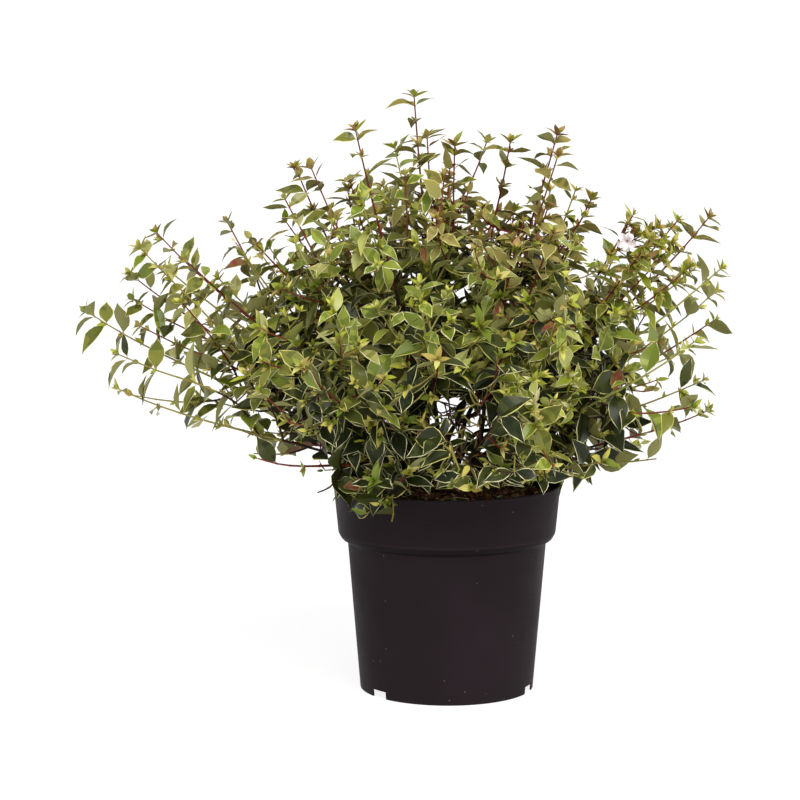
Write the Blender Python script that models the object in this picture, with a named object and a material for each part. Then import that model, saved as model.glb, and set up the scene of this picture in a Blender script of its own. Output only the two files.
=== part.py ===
"""A potted variegated abelia: a nursery pot with its compost, five woody stems that rise from it,
the boughs that they carry, and the masses of leafy twigs that make the bush.

Metres, +Z up. The origin is the centre of the pot's flat underside, and the bush is seen from -Y.
"""

import math
import random

import bmesh
import bpy
from mathutils import Matrix, Vector
from mathutils.bvhtree import BVHTree

CLEARANCE = 0.0003
SHARP_ANGLE = 35
UP = Vector((0, 0, 1))

# Pot: a five litre nursery container, turned about Z.
POT_HEIGHT = 0.2043
POT_WALL = 0.0016
RIM_RADIUS = 0.1125
BAND_FOOT_RADIUS = 0.1073
BAND_FOOT_Z = 0.1560
BODY_TOP_RADIUS = 0.0981
BODY_TOP_Z = 0.1475
FOOT_RADIUS = 0.0858
FLOOR_RAISED_Z = 0.0085
FLOOR_PAD_RADIUS = 0.046
FLOOR_THICK = 0.002
POT_SEGMENTS = 48
COMPOST_SEGMENTS = 24
NOTCH_AZIMUTHS = (-141, -21, 99)
NOTCH_WIDTH = 0.020
NOTCH_HEIGHT = 0.0075
DRAIN_HOLES = 5
DRAIN_HOLE_RADIUS = 0.0045
DRAIN_RING_RADIUS = 0.066

# Compost: fills the pot to just under its rim, with a low mound round the stems.
SOIL_EDGE_Z = 0.192
SOIL_MOUND_Z = 0.196
SOIL_MOUND_RADIUS = 0.040

# Stems: (azimuth of the foot on its ring, lean of the stem from upright), in degrees.
STEMS = {
    "right": (-12, 17),
    "back_right": (62, 15),
    "back_left": (128, 16),
    "left": (186, 18),
    "front": (-92, 15),
}
STEM_RING_RADIUS = 0.017
STEM_LENGTH = 0.052
STEM_FOOT_RADIUS = 0.0044
STEM_TIP_RADIUS = 0.0031
ROOT_FLARE = 1.75
STEM_SIDES = 7
BOUGH_SIDES = 5
BOUGH_STEPS = 5
STUB_SHORTEST = 0.0085
STUB_LONGEST = 0.060
STUB_ROOM = 0.0016
BOUGH_FOOT_RADIUS = 0.0024
BOUGH_TIP_RADIUS = 0.0017
SHOOT_TIP_RADIUS = 0.0010
TWIG_RADIUS = 0.0012

# Masses of foliage: (stem that bears it, azimuth, elevation, reach, where its leaves begin).
# Angles are in degrees and lengths in metres, all measured from the heart of the bush.
HEART = Vector((0, 0, SOIL_MOUND_Z))
MASSES = {
    "top": ("back_left", 165, 85, 0.388, 0.15),
    "upper_right": ("right", -12, 73, 0.366, 0.14),
    "upper_back_right": ("back_right", 50, 60, 0.335, 0.12),
    "upper_back": ("back_left", 112, 60, 0.340, 0.12),
    "upper_left": ("left", 178, 65, 0.350, 0.13),
    "upper_front_left": ("left", -130, 69, 0.380, 0.12),
    "upper_front_right": ("front", -58, 56, 0.315, 0.11),
    "right_high": ("right", -8, 47, 0.370, 0.12),
    "right": ("back_right", 16, 34, 0.340, 0.11),
    "right_front": ("right", -34, 31, 0.315, 0.10),
    "front_high": ("front", -98, 46, 0.305, 0.095),
    "front": ("front", -80, 24, 0.268, 0.080),
    "front_left": ("front", -122, 30, 0.292, 0.085),
    "left_far": ("left", -177, 27, 0.394, 0.11),
    "left_high": ("left", 172, 41, 0.385, 0.12),
    "back_left_high": ("back_left", 146, 45, 0.340, 0.11),
    "back_left": ("back_left", 138, 25, 0.325, 0.10),
    "back": ("back_left", 96, 33, 0.325, 0.10),
    "back_right": ("back_right", 52, 31, 0.310, 0.10),
    "low_right": ("right", -6, 18, 0.266, 0.085),
    "left_low": ("left", -162, 19, 0.345, 0.085),
}
# Low masses that spring straight from a stem, with the same figures.
SKIRTS = {
    "low_front_right": ("front", -48, 14, 0.215, 0.055),
    "low_front_left": ("front", -112, 11, 0.190, 0.055),
    "low_left": ("left", -141, 13, 0.235, 0.055),
    "low_back_left": ("back_left", 160, 13, 0.240, 0.055),
    "low_back": ("back_left", 98, 13, 0.215, 0.055),
    "low_back_right": ("back_right", 38, 13, 0.225, 0.055),
}
BOUGH_RISE = 0.30
SKIRT_RISE = 0.25
TIP_RISE = 0.16

# Twigs and leaves
LEADER_STEPS = 8
LEADER_RINGS = 5
TWIG_RINGS = 3
TWIG_SIDES = 3
TWIGS = 5
TWIG_TRIES = 60
TWIG_SPREAD = 0.45
TWIG_SHORTEST = 0.032
TWIG_ROOM = 0.004
TWIG_END_MARGIN = 0.010
TWIG_LEAVES_AT = 0.70
LEAF_LENGTH = 0.058
LEAF_WIDTH = 0.035
LEAF_FOLD = 0.0020
LEAF_DROOP = 0.14
LEAF_ANGLE = 54
LEAF_SINK = 0.0004
LEAF_NECK = 0.12
LEAF_TRIES = 7
LAST_PAIR_BACK = 0.005
PAIR_SPACING = 0.034
SPACE_MARGIN = 0.0008
LIMB_MARGIN = 0.0012
RIM_MARGIN = 0.003
# The one open flower: its mass, and its azimuth, elevation and distance from the heart.
BLOSSOM_MASS = "right_high"
BLOSSOM_PLACE = (-16, 55, 0.292)
BLOSSOM_LENGTH = 0.016
BLOSSOM_RADIUS = 0.010
BLOSSOM_LOBES = 5
# The bush has no leaves below this height over the floor. Outside a distance from the axis the limit rises.
UNDERSIDE_Z = 0.186
UNDERSIDE_RADIUS = 0.138
UNDERSIDE_SLOPE = 0.60

COLOURS = {
    "pot_plastic": ((0.030, 0.026, 0.028), 0.55),
    "compost": ((0.060, 0.032, 0.018), 0.95),
    "bark": ((0.080, 0.045, 0.035), 0.80),
    "foliage": ((0.130, 0.200, 0.065), 0.50),
}


def clear_scene():
    for old in list(bpy.data.objects):
        bpy.data.objects.remove(old, do_unlink=True)


def make_materials():
    made = {}
    for name, (colour, roughness) in COLOURS.items():
        material = bpy.data.materials.new(name)
        material.use_nodes = True
        shader = material.node_tree.nodes["Principled BSDF"]
        shader.inputs["Base Color"].default_value = (*colour, 1)
        shader.inputs["Roughness"].default_value = roughness
        shader.inputs["Metallic"].default_value = 0
        made[name] = material
    return made


def polar(azimuth, elevation):
    """The unit vector at an azimuth from +X and an elevation above the horizon, in degrees."""
    a, e = math.radians(azimuth), math.radians(elevation)
    return Vector((math.cos(a) * math.cos(e), math.sin(a) * math.cos(e), math.sin(e)))


def mesh_object(name, bm, material, collection=None):
    mesh = bpy.data.meshes.new(name)
    bm.to_mesh(mesh)
    bm.free()
    mesh.materials.append(material)
    made = bpy.data.objects.new(name, mesh)
    (collection or bpy.context.scene.collection).objects.link(made)
    return made


def smooth(made):
    """Shades a round piece smooth, with its corners kept sharp."""
    made.data.shade_smooth()
    made.data.set_sharp_from_angle(angle=math.radians(SHARP_ANGLE))
    return made


# Turned shapes and cuts


def turned(name, profile, segments, material):
    """A closed body turned about Z from (radius, height) points that start and end on the axis."""
    bm = bmesh.new()
    points = [bm.verts.new((radius, 0, height)) for radius, height in profile]
    edges = [bm.edges.new(pair) for pair in zip(points, points[1:])]
    bmesh.ops.spin(
        bm,
        geom=points + edges,
        axis=UP,
        cent=(0, 0, 0),
        angle=math.tau,
        steps=segments,
        use_merge=True,
    )
    bmesh.ops.remove_doubles(bm, verts=bm.verts, dist=1e-6)
    bmesh.ops.recalc_face_normals(bm, faces=bm.faces)
    return mesh_object(name, bm, material)


def apply_boolean(target, operation, solver, tool=None, tools=None):
    """Applies one Boolean and removes what it used up."""
    modifier = target.modifiers.new(operation.lower(), "BOOLEAN")
    modifier.operation = operation
    modifier.solver = solver
    if tools:
        modifier.operand_type = "COLLECTION"
        modifier.collection = tools
    else:
        modifier.object = tool
    graph = bpy.context.evaluated_depsgraph_get()
    result = bpy.data.meshes.new_from_object(target.evaluated_get(graph))
    target.modifiers.clear()
    target.data = result
    for used in list(tools.objects) if tools else [tool]:
        bpy.data.objects.remove(used, do_unlink=True)
    if tools:
        bpy.data.collections.remove(tools)


def keep_largest_shell(mesh):
    """Fills sealed hollows and drops loose scraps: only the shell with the most faces stays."""
    bm = bmesh.new()
    bm.from_mesh(mesh)
    bmesh.ops.triangulate(bm, faces=bm.faces)
    left = set(bm.faces)
    shells = []
    while left:
        shell, waiting = set(), [left.pop()]
        while waiting:
            face = waiting.pop()
            shell.add(face)
            paired = [edge for edge in face.edges if len(edge.link_faces) == 2]
            near = {other for edge in paired for other in edge.link_faces} & left
            left -= near
            waiting.extend(near)
        shells.append(shell)
    shells.sort(key=len)
    for shell in shells[:-1]:
        bmesh.ops.delete(bm, geom=list(shell), context="FACES")
    bm.to_mesh(mesh)
    bm.free()


def box_cutter(name, size, centre, turn):
    bm = bmesh.new()
    place = Matrix.Rotation(turn, 4, "Z") @ Matrix.Translation(centre) @ Matrix.Diagonal((*size, 1))
    bmesh.ops.create_cube(bm, size=1, matrix=place)
    return mesh_object(name, bm, bpy.data.materials["pot_plastic"])


def hole_cutter(name, radius, depth, centre):
    bm = bmesh.new()
    bmesh.ops.create_cone(
        bm,
        cap_ends=True,
        segments=8,
        radius1=radius,
        radius2=radius,
        depth=depth,
        matrix=Matrix.Translation(centre),
    )
    return mesh_object(name, bm, bpy.data.materials["pot_plastic"])


def outer_radius(height):
    """The pot body's outer radius at a height below its band."""
    return FOOT_RADIUS + (BODY_TOP_RADIUS - FOOT_RADIUS) * height / BODY_TOP_Z


def build_pot(material):
    """The shell: a tapered body, a wide band with a rounded foot, and a raised floor round a flat pad."""
    raised_top = FLOOR_RAISED_Z + FLOOR_THICK
    band_middle = (BODY_TOP_RADIUS + BAND_FOOT_RADIUS) / 2
    profile = [
        (0, 0),
        (FLOOR_PAD_RADIUS, 0),
        (FLOOR_PAD_RADIUS + 0.001, FLOOR_RAISED_Z),
        (outer_radius(FLOOR_RAISED_Z) - POT_WALL, FLOOR_RAISED_Z),
        (FOOT_RADIUS - POT_WALL, 0),
        (FOOT_RADIUS, 0),
        (BODY_TOP_RADIUS, BODY_TOP_Z),
        (band_middle + 0.0015, BODY_TOP_Z + 0.0030),
        (BAND_FOOT_RADIUS, BAND_FOOT_Z),
        (RIM_RADIUS, POT_HEIGHT),
        (RIM_RADIUS - POT_WALL, POT_HEIGHT),
        (BAND_FOOT_RADIUS - POT_WALL, BAND_FOOT_Z + 0.001),
        (BODY_TOP_RADIUS - POT_WALL, BODY_TOP_Z + POT_WALL),
        (outer_radius(raised_top) - POT_WALL, raised_top),
        (FLOOR_PAD_RADIUS - 0.002, raised_top),
        (FLOOR_PAD_RADIUS - 0.003, FLOOR_THICK),
        (0, FLOOR_THICK),
    ]
    pot = turned("pot", profile, POT_SEGMENTS, material)
    for count, azimuth in enumerate(NOTCH_AZIMUTHS):
        size = (0.012, NOTCH_WIDTH, 2 * NOTCH_HEIGHT)
        cutter = box_cutter(f"notch_{count}", size, (FOOT_RADIUS, 0, 0), math.radians(azimuth))
        apply_boolean(pot, "DIFFERENCE", "EXACT", tool=cutter)
    for count in range(DRAIN_HOLES):
        angle = math.tau * (count + 0.5) / DRAIN_HOLES
        centre = (DRAIN_RING_RADIUS * math.cos(angle), DRAIN_RING_RADIUS * math.sin(angle), raised_top)
        cutter = hole_cutter(f"drain_{count}", DRAIN_HOLE_RADIUS, 0.02, centre)
        apply_boolean(pot, "DIFFERENCE", "EXACT", tool=cutter)
    return smooth(pot)


def build_compost(material):
    """The filling, which keeps CLEARANCE to the pot's inside all round."""
    raised = FLOOR_RAISED_Z + FLOOR_THICK + CLEARANCE
    gap = POT_WALL + CLEARANCE
    pad = FLOOR_PAD_RADIUS - 0.004
    band_foot = BAND_FOOT_Z + 0.002
    slope = (RIM_RADIUS - BAND_FOOT_RADIUS) / (POT_HEIGHT - BAND_FOOT_Z)
    profile = [
        (0, FLOOR_THICK + CLEARANCE),
        (pad, FLOOR_THICK + CLEARANCE),
        (pad + 0.001, raised),
        (outer_radius(raised) - gap, raised),
        (BODY_TOP_RADIUS - gap, BODY_TOP_Z + POT_WALL + 0.001),
        (BAND_FOOT_RADIUS - gap, band_foot + 0.001),
        (BAND_FOOT_RADIUS - gap + slope * (SOIL_EDGE_Z - BAND_FOOT_Z), SOIL_EDGE_Z),
        (SOIL_MOUND_RADIUS, SOIL_MOUND_Z),
        (0, SOIL_MOUND_Z),
    ]
    return smooth(turned("compost", profile, COMPOST_SEGMENTS, material))


# Limbs


def curve_points(p0, p1, p2, p3, count):
    """Points along a cubic curve, both ends included."""
    found = []
    for step in range(count + 1):
        t = step / count
        s = 1 - t
        found.append(p0 * s**3 + p1 * 3 * s * s * t + p2 * 3 * s * t * t + p3 * t**3)
    return found


def tube(name, points, radii, sides, material, collection=None, first_normal=None, last_normal=None):
    """A closed tube with flat ends whose rings are carried along without twist."""
    bm = bmesh.new()
    headings = []
    for place in range(len(points)):
        before = points[max(place - 1, 0)]
        after = points[min(place + 1, len(points) - 1)]
        headings.append((after - before).normalized())
    headings[0] = first_normal or headings[0]
    headings[-1] = last_normal or headings[-1]
    side = headings[0].orthogonal().normalized()
    rings = []
    for centre, heading, radius in zip(points, headings, radii):
        side = (side - heading * side.dot(heading)).normalized()
        other = heading.cross(side)
        ring = []
        for count in range(sides):
            angle = math.tau * count / sides
            ring.append(bm.verts.new(centre + (side * math.cos(angle) + other * math.sin(angle)) * radius))
        rings.append(ring)
    for low, high in zip(rings, rings[1:]):
        for count in range(sides):
            after = (count + 1) % sides
            bm.faces.new((low[count], low[after], high[after], high[count]))
    bm.faces.new(reversed(rings[0]))
    bm.faces.new(rings[-1])
    return mesh_object(name, bm, material, collection)


def taper(first, last, count):
    return [first + (last - first) * step / (count - 1) for step in range(count)]


def stem_curve(stem):
    """The foot, the tip and the heading of a stem."""
    azimuth, lean = STEMS[stem]
    foot = polar(azimuth, 0) * STEM_RING_RADIUS + UP * (SOIL_MOUND_Z + CLEARANCE)
    heading = polar(azimuth, 90 - lean)
    return foot, foot + heading * STEM_LENGTH, heading


def segment_distance(point, first, last):
    onward = last - first
    share = min(max((point - first).dot(onward) / onward.length_squared, 0), 1)
    return (point - first.lerp(last, share)).length


def limb_roots(stem):
    """Where each limb of a stem leaves its line, and its heading there: the steepest leaves at the tip."""
    foot, tip, _ = stem_curve(stem)
    borne = {name: row for name, row in {**SKIRTS, **MASSES}.items() if row[0] == stem}
    order = sorted(borne, key=lambda name: borne[name][2])
    roots = {}
    for rank, name in enumerate(order):
        _, azimuth, elevation, _, _ = borne[name]
        share = 0.24 + 0.76 * rank / (len(order) - 1)
        rise = SKIRT_RISE if name in SKIRTS else BOUGH_RISE
        heading = (polar(azimuth, elevation) + UP * rise).normalized()
        roots[name] = (foot.lerp(tip, share), heading)
    return roots


def stub_end(name, roots, foot, tip):
    """The stub runs on until its end stands clear of the stem and of the other limbs."""
    origin, heading = roots[name]
    others = [(start, start + way * 2 * STUB_LONGEST) for key, (start, way) in roots.items() if key != name]
    length = STUB_SHORTEST
    while length < STUB_LONGEST:
        end = origin + heading * length
        apart = min(segment_distance(end, *other) for other in others) - 2 * BOUGH_FOOT_RADIUS
        off_stem = segment_distance(end, foot, tip) - BOUGH_FOOT_RADIUS - STEM_FOOT_RADIUS
        if min(apart, off_stem) > STUB_ROOM:
            break
        length += 0.001
    return origin + heading * length


def limb_plan():
    """For each mass: its stem, where its limb leaves the stem's line, its heading, and its stub's end."""
    plan = {}
    for stem in STEMS:
        foot, tip, _ = stem_curve(stem)
        roots = limb_roots(stem)
        for name, (origin, heading) in roots.items():
            plan[name] = (stem, origin, heading, stub_end(name, roots, foot, tip))
    return plan


def bough_points(name, plan):
    """The bough of a mass, from its stub's end to where it enters the leaves, and its headings at both."""
    _, azimuth, elevation, _, start = MASSES[name]
    _, _, heading, end = plan[name]
    first = end + heading * CLEARANCE
    outward = polar(azimuth, elevation)
    last = HEART + outward * start
    last_heading = (outward * 3 + heading).normalized()
    third = (last - first).length / 3
    points = curve_points(first, first + heading * third, last - last_heading * third, last, BOUGH_STEPS)
    return points, heading, last_heading


def build_stem(stem, plan, material):
    """One woody stem with a flared foot, cut flat on the compost, and a stub for each limb it bears."""
    foot, tip, heading = stem_curve(stem)
    heights = (0, 0.10, 0.30, 0.60, 1)
    swell = (ROOT_FLARE, 1.15, 1, 1, 1)
    points = [foot.lerp(tip, share) for share in heights]
    radii = [
        (STEM_FOOT_RADIUS + (STEM_TIP_RADIUS - STEM_FOOT_RADIUS) * share) * wide
        for share, wide in zip(heights, swell)
    ]
    made = tube(f"stem_{stem}", points, radii, STEM_SIDES, material, first_normal=UP)
    stubs = bpy.data.collections.new(f"stubs_{stem}")
    bpy.context.scene.collection.children.link(stubs)
    for name, (owner, origin, _, end) in plan.items():
        if owner == stem:
            radius = BOUGH_FOOT_RADIUS * 1.08
            tube(f"stub_{name}", [origin, end], (radius, radius), BOUGH_SIDES, material, stubs)
    apply_boolean(made, "UNION", "EXACT", tools=stubs)
    return smooth(made)


# Foliage


class Space:
    """The air that one mass keeps to: its own cone of directions from the heart, off the limbs and pot."""

    def __init__(self, name, directions, limbs):
        own = directions[name]
        self.walls = [(own - other).normalized() for key, other in directions.items() if key != name]
        self.limbs = limbs

    def holds(self, point, margin=SPACE_MARGIN):
        from_heart = point - HEART
        if any(from_heart.dot(wall) < margin for wall in self.walls):
            return False
        flat = math.hypot(point.x, point.y)
        if point.z < UNDERSIDE_Z + max(flat - UNDERSIDE_RADIUS, 0) * UNDERSIDE_SLOPE:
            return False
        return flat > RIM_RADIUS + RIM_MARGIN or point.z > POT_HEIGHT + RIM_MARGIN

    def clear_of_limbs(self, point, own_radius):
        return all(
            segment_distance(point, start, end) > radius + own_radius + LIMB_MARGIN
            for start, end, radius in self.limbs
        )

    def takes_line(self, points, radius):
        """True if a line of points with a radius round it fits, sampled between the points too."""
        for first, last in zip(points, points[1:]):
            for share in (0, 0.25, 0.5, 0.75, 1):
                place = first.lerp(last, share)
                if not (self.holds(place, SPACE_MARGIN + radius) and self.clear_of_limbs(place, radius)):
                    return False
        return True


LEAF_FACES = ((0, 1, 5), (1, 3, 5), (0, 5, 2), (2, 5, 4), (0, 2, 1), (1, 2, 3), (2, 4, 3), (3, 4, 5))
LEAF_EDGES = ((0, 1), (1, 3), (3, 5), (0, 2), (2, 4), (4, 5), (0, 5))


def leaf_corners(root, heading, normal, size):
    """Six corners: the root, two on each side, and the tip. The midrib is the ridge of the fold."""
    length, width = LEAF_LENGTH * size, LEAF_WIDTH * size
    across = heading.cross(normal).normalized()
    onward = (heading - across.cross(heading) * LEAF_DROOP).normalized()
    face = across.cross(onward)
    corners = [root - onward * LEAF_SINK]
    for share, wide in ((0.30, 0.46), (0.62, 0.36)):
        middle = root + onward * length * share - face * LEAF_FOLD
        corners.append(middle + across * width * wide)
        corners.append(middle - across * width * wide)
    corners.append(root + onward * length - face * LEAF_FOLD)
    return corners


def leaf_fits(corners, space):
    if not all(space.holds(corner) for corner in corners[1:]):
        return False
    for first, last in LEAF_EDGES:
        for share in (0.25, 0.5, 0.75, 1):
            place = corners[first].lerp(corners[last], share)
            if not (space.holds(place) and space.clear_of_limbs(place, 0)):
                return False
    return True


def side_of(heading, turn):
    """A direction square to a shoot, turned by an angle from level."""
    level = heading.cross(UP)
    if level.length < 0.2:
        level = heading.cross(Vector((0, 1, 0)))
    level.normalize()
    return Matrix.Rotation(turn, 3, heading) @ level


def leaf_normal(point, draw):
    """Blades face the light: up and away from the heart, each a little its own way."""
    outward = (point - HEART).normalized()
    stray = Vector((draw.uniform(-1, 1), draw.uniform(-1, 1), draw.uniform(-1, 1)))
    return (UP * 0.45 + outward * 0.75 + stray * 0.35).normalized()


def line_length(points):
    return sum((b - a).length for a, b in zip(points, points[1:]))


def along(points, share):
    """The point and the heading at a share of a line of points."""
    place = share * (len(points) - 1)
    low = min(int(place), len(points) - 2)
    heading = (points[low + 1] - points[low]).normalized()
    return points[low].lerp(points[low + 1], place - low), heading


def line_distance(point, line):
    return min((point - a.lerp(b, share)).length for a, b in zip(line, line[1:]) for share in (0, 0.5, 1))


def leader_points(name, plan):
    """The mass's own stem, from its limb to its tip, and its heading where it begins."""
    low = name in SKIRTS
    _, azimuth, elevation, reach, _ = (SKIRTS if low else MASSES)[name]
    outward = polar(azimuth, elevation)
    tip = HEART + outward * reach
    if low:
        _, _, heading, end = plan[name]
        first = end + heading * CLEARANCE
    else:
        points, _, heading = bough_points(name, plan)
        first = points[-1] + heading * CLEARANCE
    tip_heading = (outward + UP * TIP_RISE).normalized()
    third = (tip - first).length / 3
    line = curve_points(first, first + heading * third, tip - tip_heading * third, tip, LEADER_STEPS)
    return line, heading


def twig_ends(name, leader, space, draw):
    """Points spread evenly through the mass's space: each is the roomiest of several drawn at random."""
    _, azimuth, elevation, reach, start = {**MASSES, **SKIRTS}[name]
    axis = polar(azimuth, elevation)
    ends = []
    if name == BLOSSOM_MASS:
        ends.append(HEART + polar(*BLOSSOM_PLACE[:2]) * BLOSSOM_PLACE[2])
    while len(ends) < TWIGS:
        best, most_room = None, TWIG_SHORTEST
        for _ in range(TWIG_TRIES):
            stray = Vector((draw.gauss(0, 1), draw.gauss(0, 1), draw.gauss(0, 1))) * TWIG_SPREAD
            low = start / reach
            distance = reach * (low + (1 - low) * draw.random() ** 0.6) * 0.9
            end = HEART + (axis + stray).normalized() * distance
            if not space.holds(end, TWIG_END_MARGIN):
                continue
            room = min([line_distance(end, leader) * 1.3] + [(end - other).length for other in ends])
            if room > most_room:
                best, most_room = end, room
        if not best:
            break
        ends.append(best)
    return ends


def first_twigs(name, leader, space, draw):
    """The twigs of a mass: each leaves the leader well short of its end and curves out to it."""
    twigs = []
    for end in twig_ends(name, leader, space, draw):
        distance = (end - HEART).length
        shares = [step / 20 for step in range(1, 19)]
        wanted = distance * TWIG_LEAVES_AT
        share = min(shares, key=lambda s: abs((along(leader, s)[0] - HEART).length - wanted))
        root, heading = along(leader, share)
        aside = end - root
        sideways = (aside - heading * aside.dot(heading)).normalized()
        start = (heading * 0.6 + sideways).normalized()
        last = (aside.normalized() + (end - HEART).normalized() + UP * 0.15).normalized()
        third = aside.length / 3
        points = curve_points(root, root + start * third, end - last * third, end, 4)
        apart = min([line_distance(point, twig) for point in points[1:] for twig in twigs] or [1])
        if apart > TWIG_ROOM and space.takes_line(points[1:], TWIG_RADIUS):
            twigs.append(points)
    return twigs


class Mass:
    """One mass of foliage while it grows: the pieces to fuse, and a tree of each to test for crossings."""

    def __init__(self, name, space, draw, material):
        self.name = name
        self.space = space
        self.draw = draw
        self.material = material
        self.trees = []
        self.pieces = bpy.data.collections.new(f"pieces_{name}")
        bpy.context.scene.collection.children.link(self.pieces)

    def shoot(self, points, radii, sides, first_normal=None, whole=None):
        """A leader or a twig. It goes with the pieces unless it is the object that they are fused to."""
        kept = whole is not None
        name = whole or f"twig_{self.name}_{len(self.trees)}"
        collection = None if kept else self.pieces
        made = tube(name, points, radii, sides, self.material, collection, first_normal)
        corners = [vertex.co.copy() for vertex in made.data.vertices]
        faces = [list(face.vertices) for face in made.data.polygons]
        self.trees.append(BVHTree.FromPolygons(corners, faces))
        return made

    def crosses(self, corners):
        """True if the blade, less its neck, meets a shoot or another blade."""
        blade = [corners[0].lerp(corners[5], LEAF_NECK)] + corners[1:]
        tree = BVHTree.FromPolygons(blade, LEAF_FACES)
        return any(tree.overlap(other) for other in self.trees)

    def leaf(self, root, heading, aside, angle, size):
        """Adds a leaf at the angle from the shoot's heading, after some tries at a place that is free."""
        for attempt in range(LEAF_TRIES):
            spread = math.radians(angle + self.draw.uniform(-9, 9) * (1 + attempt / 2))
            stray = Matrix.Rotation(self.draw.uniform(-0.14, 0.14) * attempt, 3, heading) @ aside
            direction = heading * math.cos(spread) + stray * math.sin(spread)
            fitted = size * self.draw.uniform(0.92, 1.08) * (1 - 0.035 * attempt)
            corners = leaf_corners(root, direction, leaf_normal(root, self.draw), fitted)
            if leaf_fits(corners, self.space) and not self.crosses(corners):
                self.add_piece("leaf", corners, LEAF_FACES)
                return

    def add_piece(self, kind, corners, faces):
        bm = bmesh.new()
        points = [bm.verts.new(corner) for corner in corners]
        for face in faces:
            bm.faces.new([points[corner] for corner in face])
        mesh_object(f"{kind}_{self.name}_{len(self.trees)}", bm, self.material, self.pieces)
        self.trees.append(BVHTree.FromPolygons(corners, faces))

    def blossom(self, line):
        """A small trumpet with a star-shaped mouth at the end of a twig."""
        root, heading = along(line, 1)
        aside = side_of(heading, 0)
        other = heading.cross(aside)
        corners = [root - heading * 0.0005, root + heading * BLOSSOM_LENGTH * 0.55]
        for count in range(2 * BLOSSOM_LOBES):
            angle = math.pi * count / BLOSSOM_LOBES
            radius, height = (0.55, 0.86) if count % 2 else (1, 1)
            outward = (aside * math.cos(angle) + other * math.sin(angle)) * radius * BLOSSOM_RADIUS
            corners.append(root + outward + heading * BLOSSOM_LENGTH * height)
        faces = []
        for count in range(2 * BLOSSOM_LOBES):
            here, after = 2 + count, 2 + (count + 1) % (2 * BLOSSOM_LOBES)
            faces += [(0, after, here), (1, here, after)]
        self.add_piece("blossom", corners, faces)

    def leaf_pair(self, line, share, turn, size):
        root, heading = along(line, share)
        for side in (0, math.pi):
            self.leaf(root, heading, side_of(heading, turn + side), LEAF_ANGLE, size)

    def tip_leaves(self, line, size, flowering=False):
        """The last pair, and one leaf that carries the shoot on to its full reach, or the flower."""
        root, heading = along(line, 1)
        if flowering:
            self.blossom(line)
        else:
            self.leaf(root - heading * 0.0003, heading, side_of(heading, 0), 0, size)
        share = 1 - LAST_PAIR_BACK / line_length(line)
        self.leaf_pair(line, share, self.draw.uniform(-0.4, 0.4), size * 0.9)


def part_of(line, share, rings):
    """The first share of a line, as that many evenly spaced points."""
    return [along(line, share * step / (rings - 1))[0] for step in range(rings)]


def build_mass(name, plan, space, seed, material):
    """One mass: leader, twigs and leaves, fused. What would leave the mass's own space is left out."""
    draw = random.Random(seed)
    leader, heading = leader_points(name, plan)
    mass = Mass(name, space, draw, material)
    stem = part_of(leader, 1 - LEAF_LENGTH * 0.7 / line_length(leader), LEADER_RINGS)
    thick = BOUGH_TIP_RADIUS if name in MASSES else BOUGH_FOOT_RADIUS
    radii = taper(thick, SHOOT_TIP_RADIUS, LEADER_RINGS)
    made = mass.shoot(stem, radii, TWIG_SIDES, heading, whole=f"foliage_{name}")
    stalks = []
    for points in first_twigs(name, leader, space, draw):
        stalk = part_of(points, max(1 - LEAF_LENGTH * 0.5 / line_length(points), 0.4), TWIG_RINGS)
        mass.shoot(stalk, taper(TWIG_RADIUS, SHOOT_TIP_RADIUS, TWIG_RINGS), TWIG_SIDES)
        stalks.append(stalk)
    mass.tip_leaves(stem, 0.8)
    for number, stalk in enumerate(stalks):
        mass.tip_leaves(stalk, 0.95, flowering=name == BLOSSOM_MASS and number == 0)
    pairs = int(line_length(stem) / PAIR_SPACING)
    for number in range(1, pairs):
        turn = number * math.pi / 2 + draw.uniform(-0.3, 0.3)
        mass.leaf_pair(stem, 1 - number / pairs, turn, 1)
    apply_boolean(made, "UNION", "MANIFOLD", tools=mass.pieces)
    keep_largest_shell(made.data)
    return made


def build_bough(name, plan, material):
    """One tapering limb. It returns the pieces of its centre line, each with its radius."""
    points, heading, last_heading = bough_points(name, plan)
    radii = taper(BOUGH_FOOT_RADIUS, BOUGH_TIP_RADIUS, len(points))
    made = tube(f"bough_{name}", points, radii, BOUGH_SIDES, material, None, heading, last_heading)
    smooth(made)
    return [(first, last, BOUGH_FOOT_RADIUS) for first, last in zip(points, points[1:])]


def main():
    clear_scene()
    materials = make_materials()
    build_pot(materials["pot_plastic"])
    build_compost(materials["compost"])
    plan = limb_plan()
    limbs = [(origin, end, BOUGH_FOOT_RADIUS * 1.1) for _, origin, _, end in plan.values()]
    for stem in STEMS:
        build_stem(stem, plan, materials["bark"])
        foot, tip, _ = stem_curve(stem)
        limbs.append((foot, tip, STEM_FOOT_RADIUS))
    for name in MASSES:
        limbs += build_bough(name, plan, materials["bark"])
    rows = {**MASSES, **SKIRTS}
    directions = {name: polar(row[1], row[2]) for name, row in rows.items()}
    for seed, name in enumerate(rows):
        build_mass(name, plan, Space(name, directions, limbs), seed, materials["foliage"])


main()
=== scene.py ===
"""The looks of the potted variegated abelia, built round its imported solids.

Metres, +Z up, and the bush is seen from -Y. Each mass of foliage is grown again by the rule that its solid
follows, then carried on to finer shoots with leaves of about their real size.
"""

import math
import random

import bmesh
import bpy
import numpy as np
from mathutils import Matrix, Vector, noise


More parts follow.
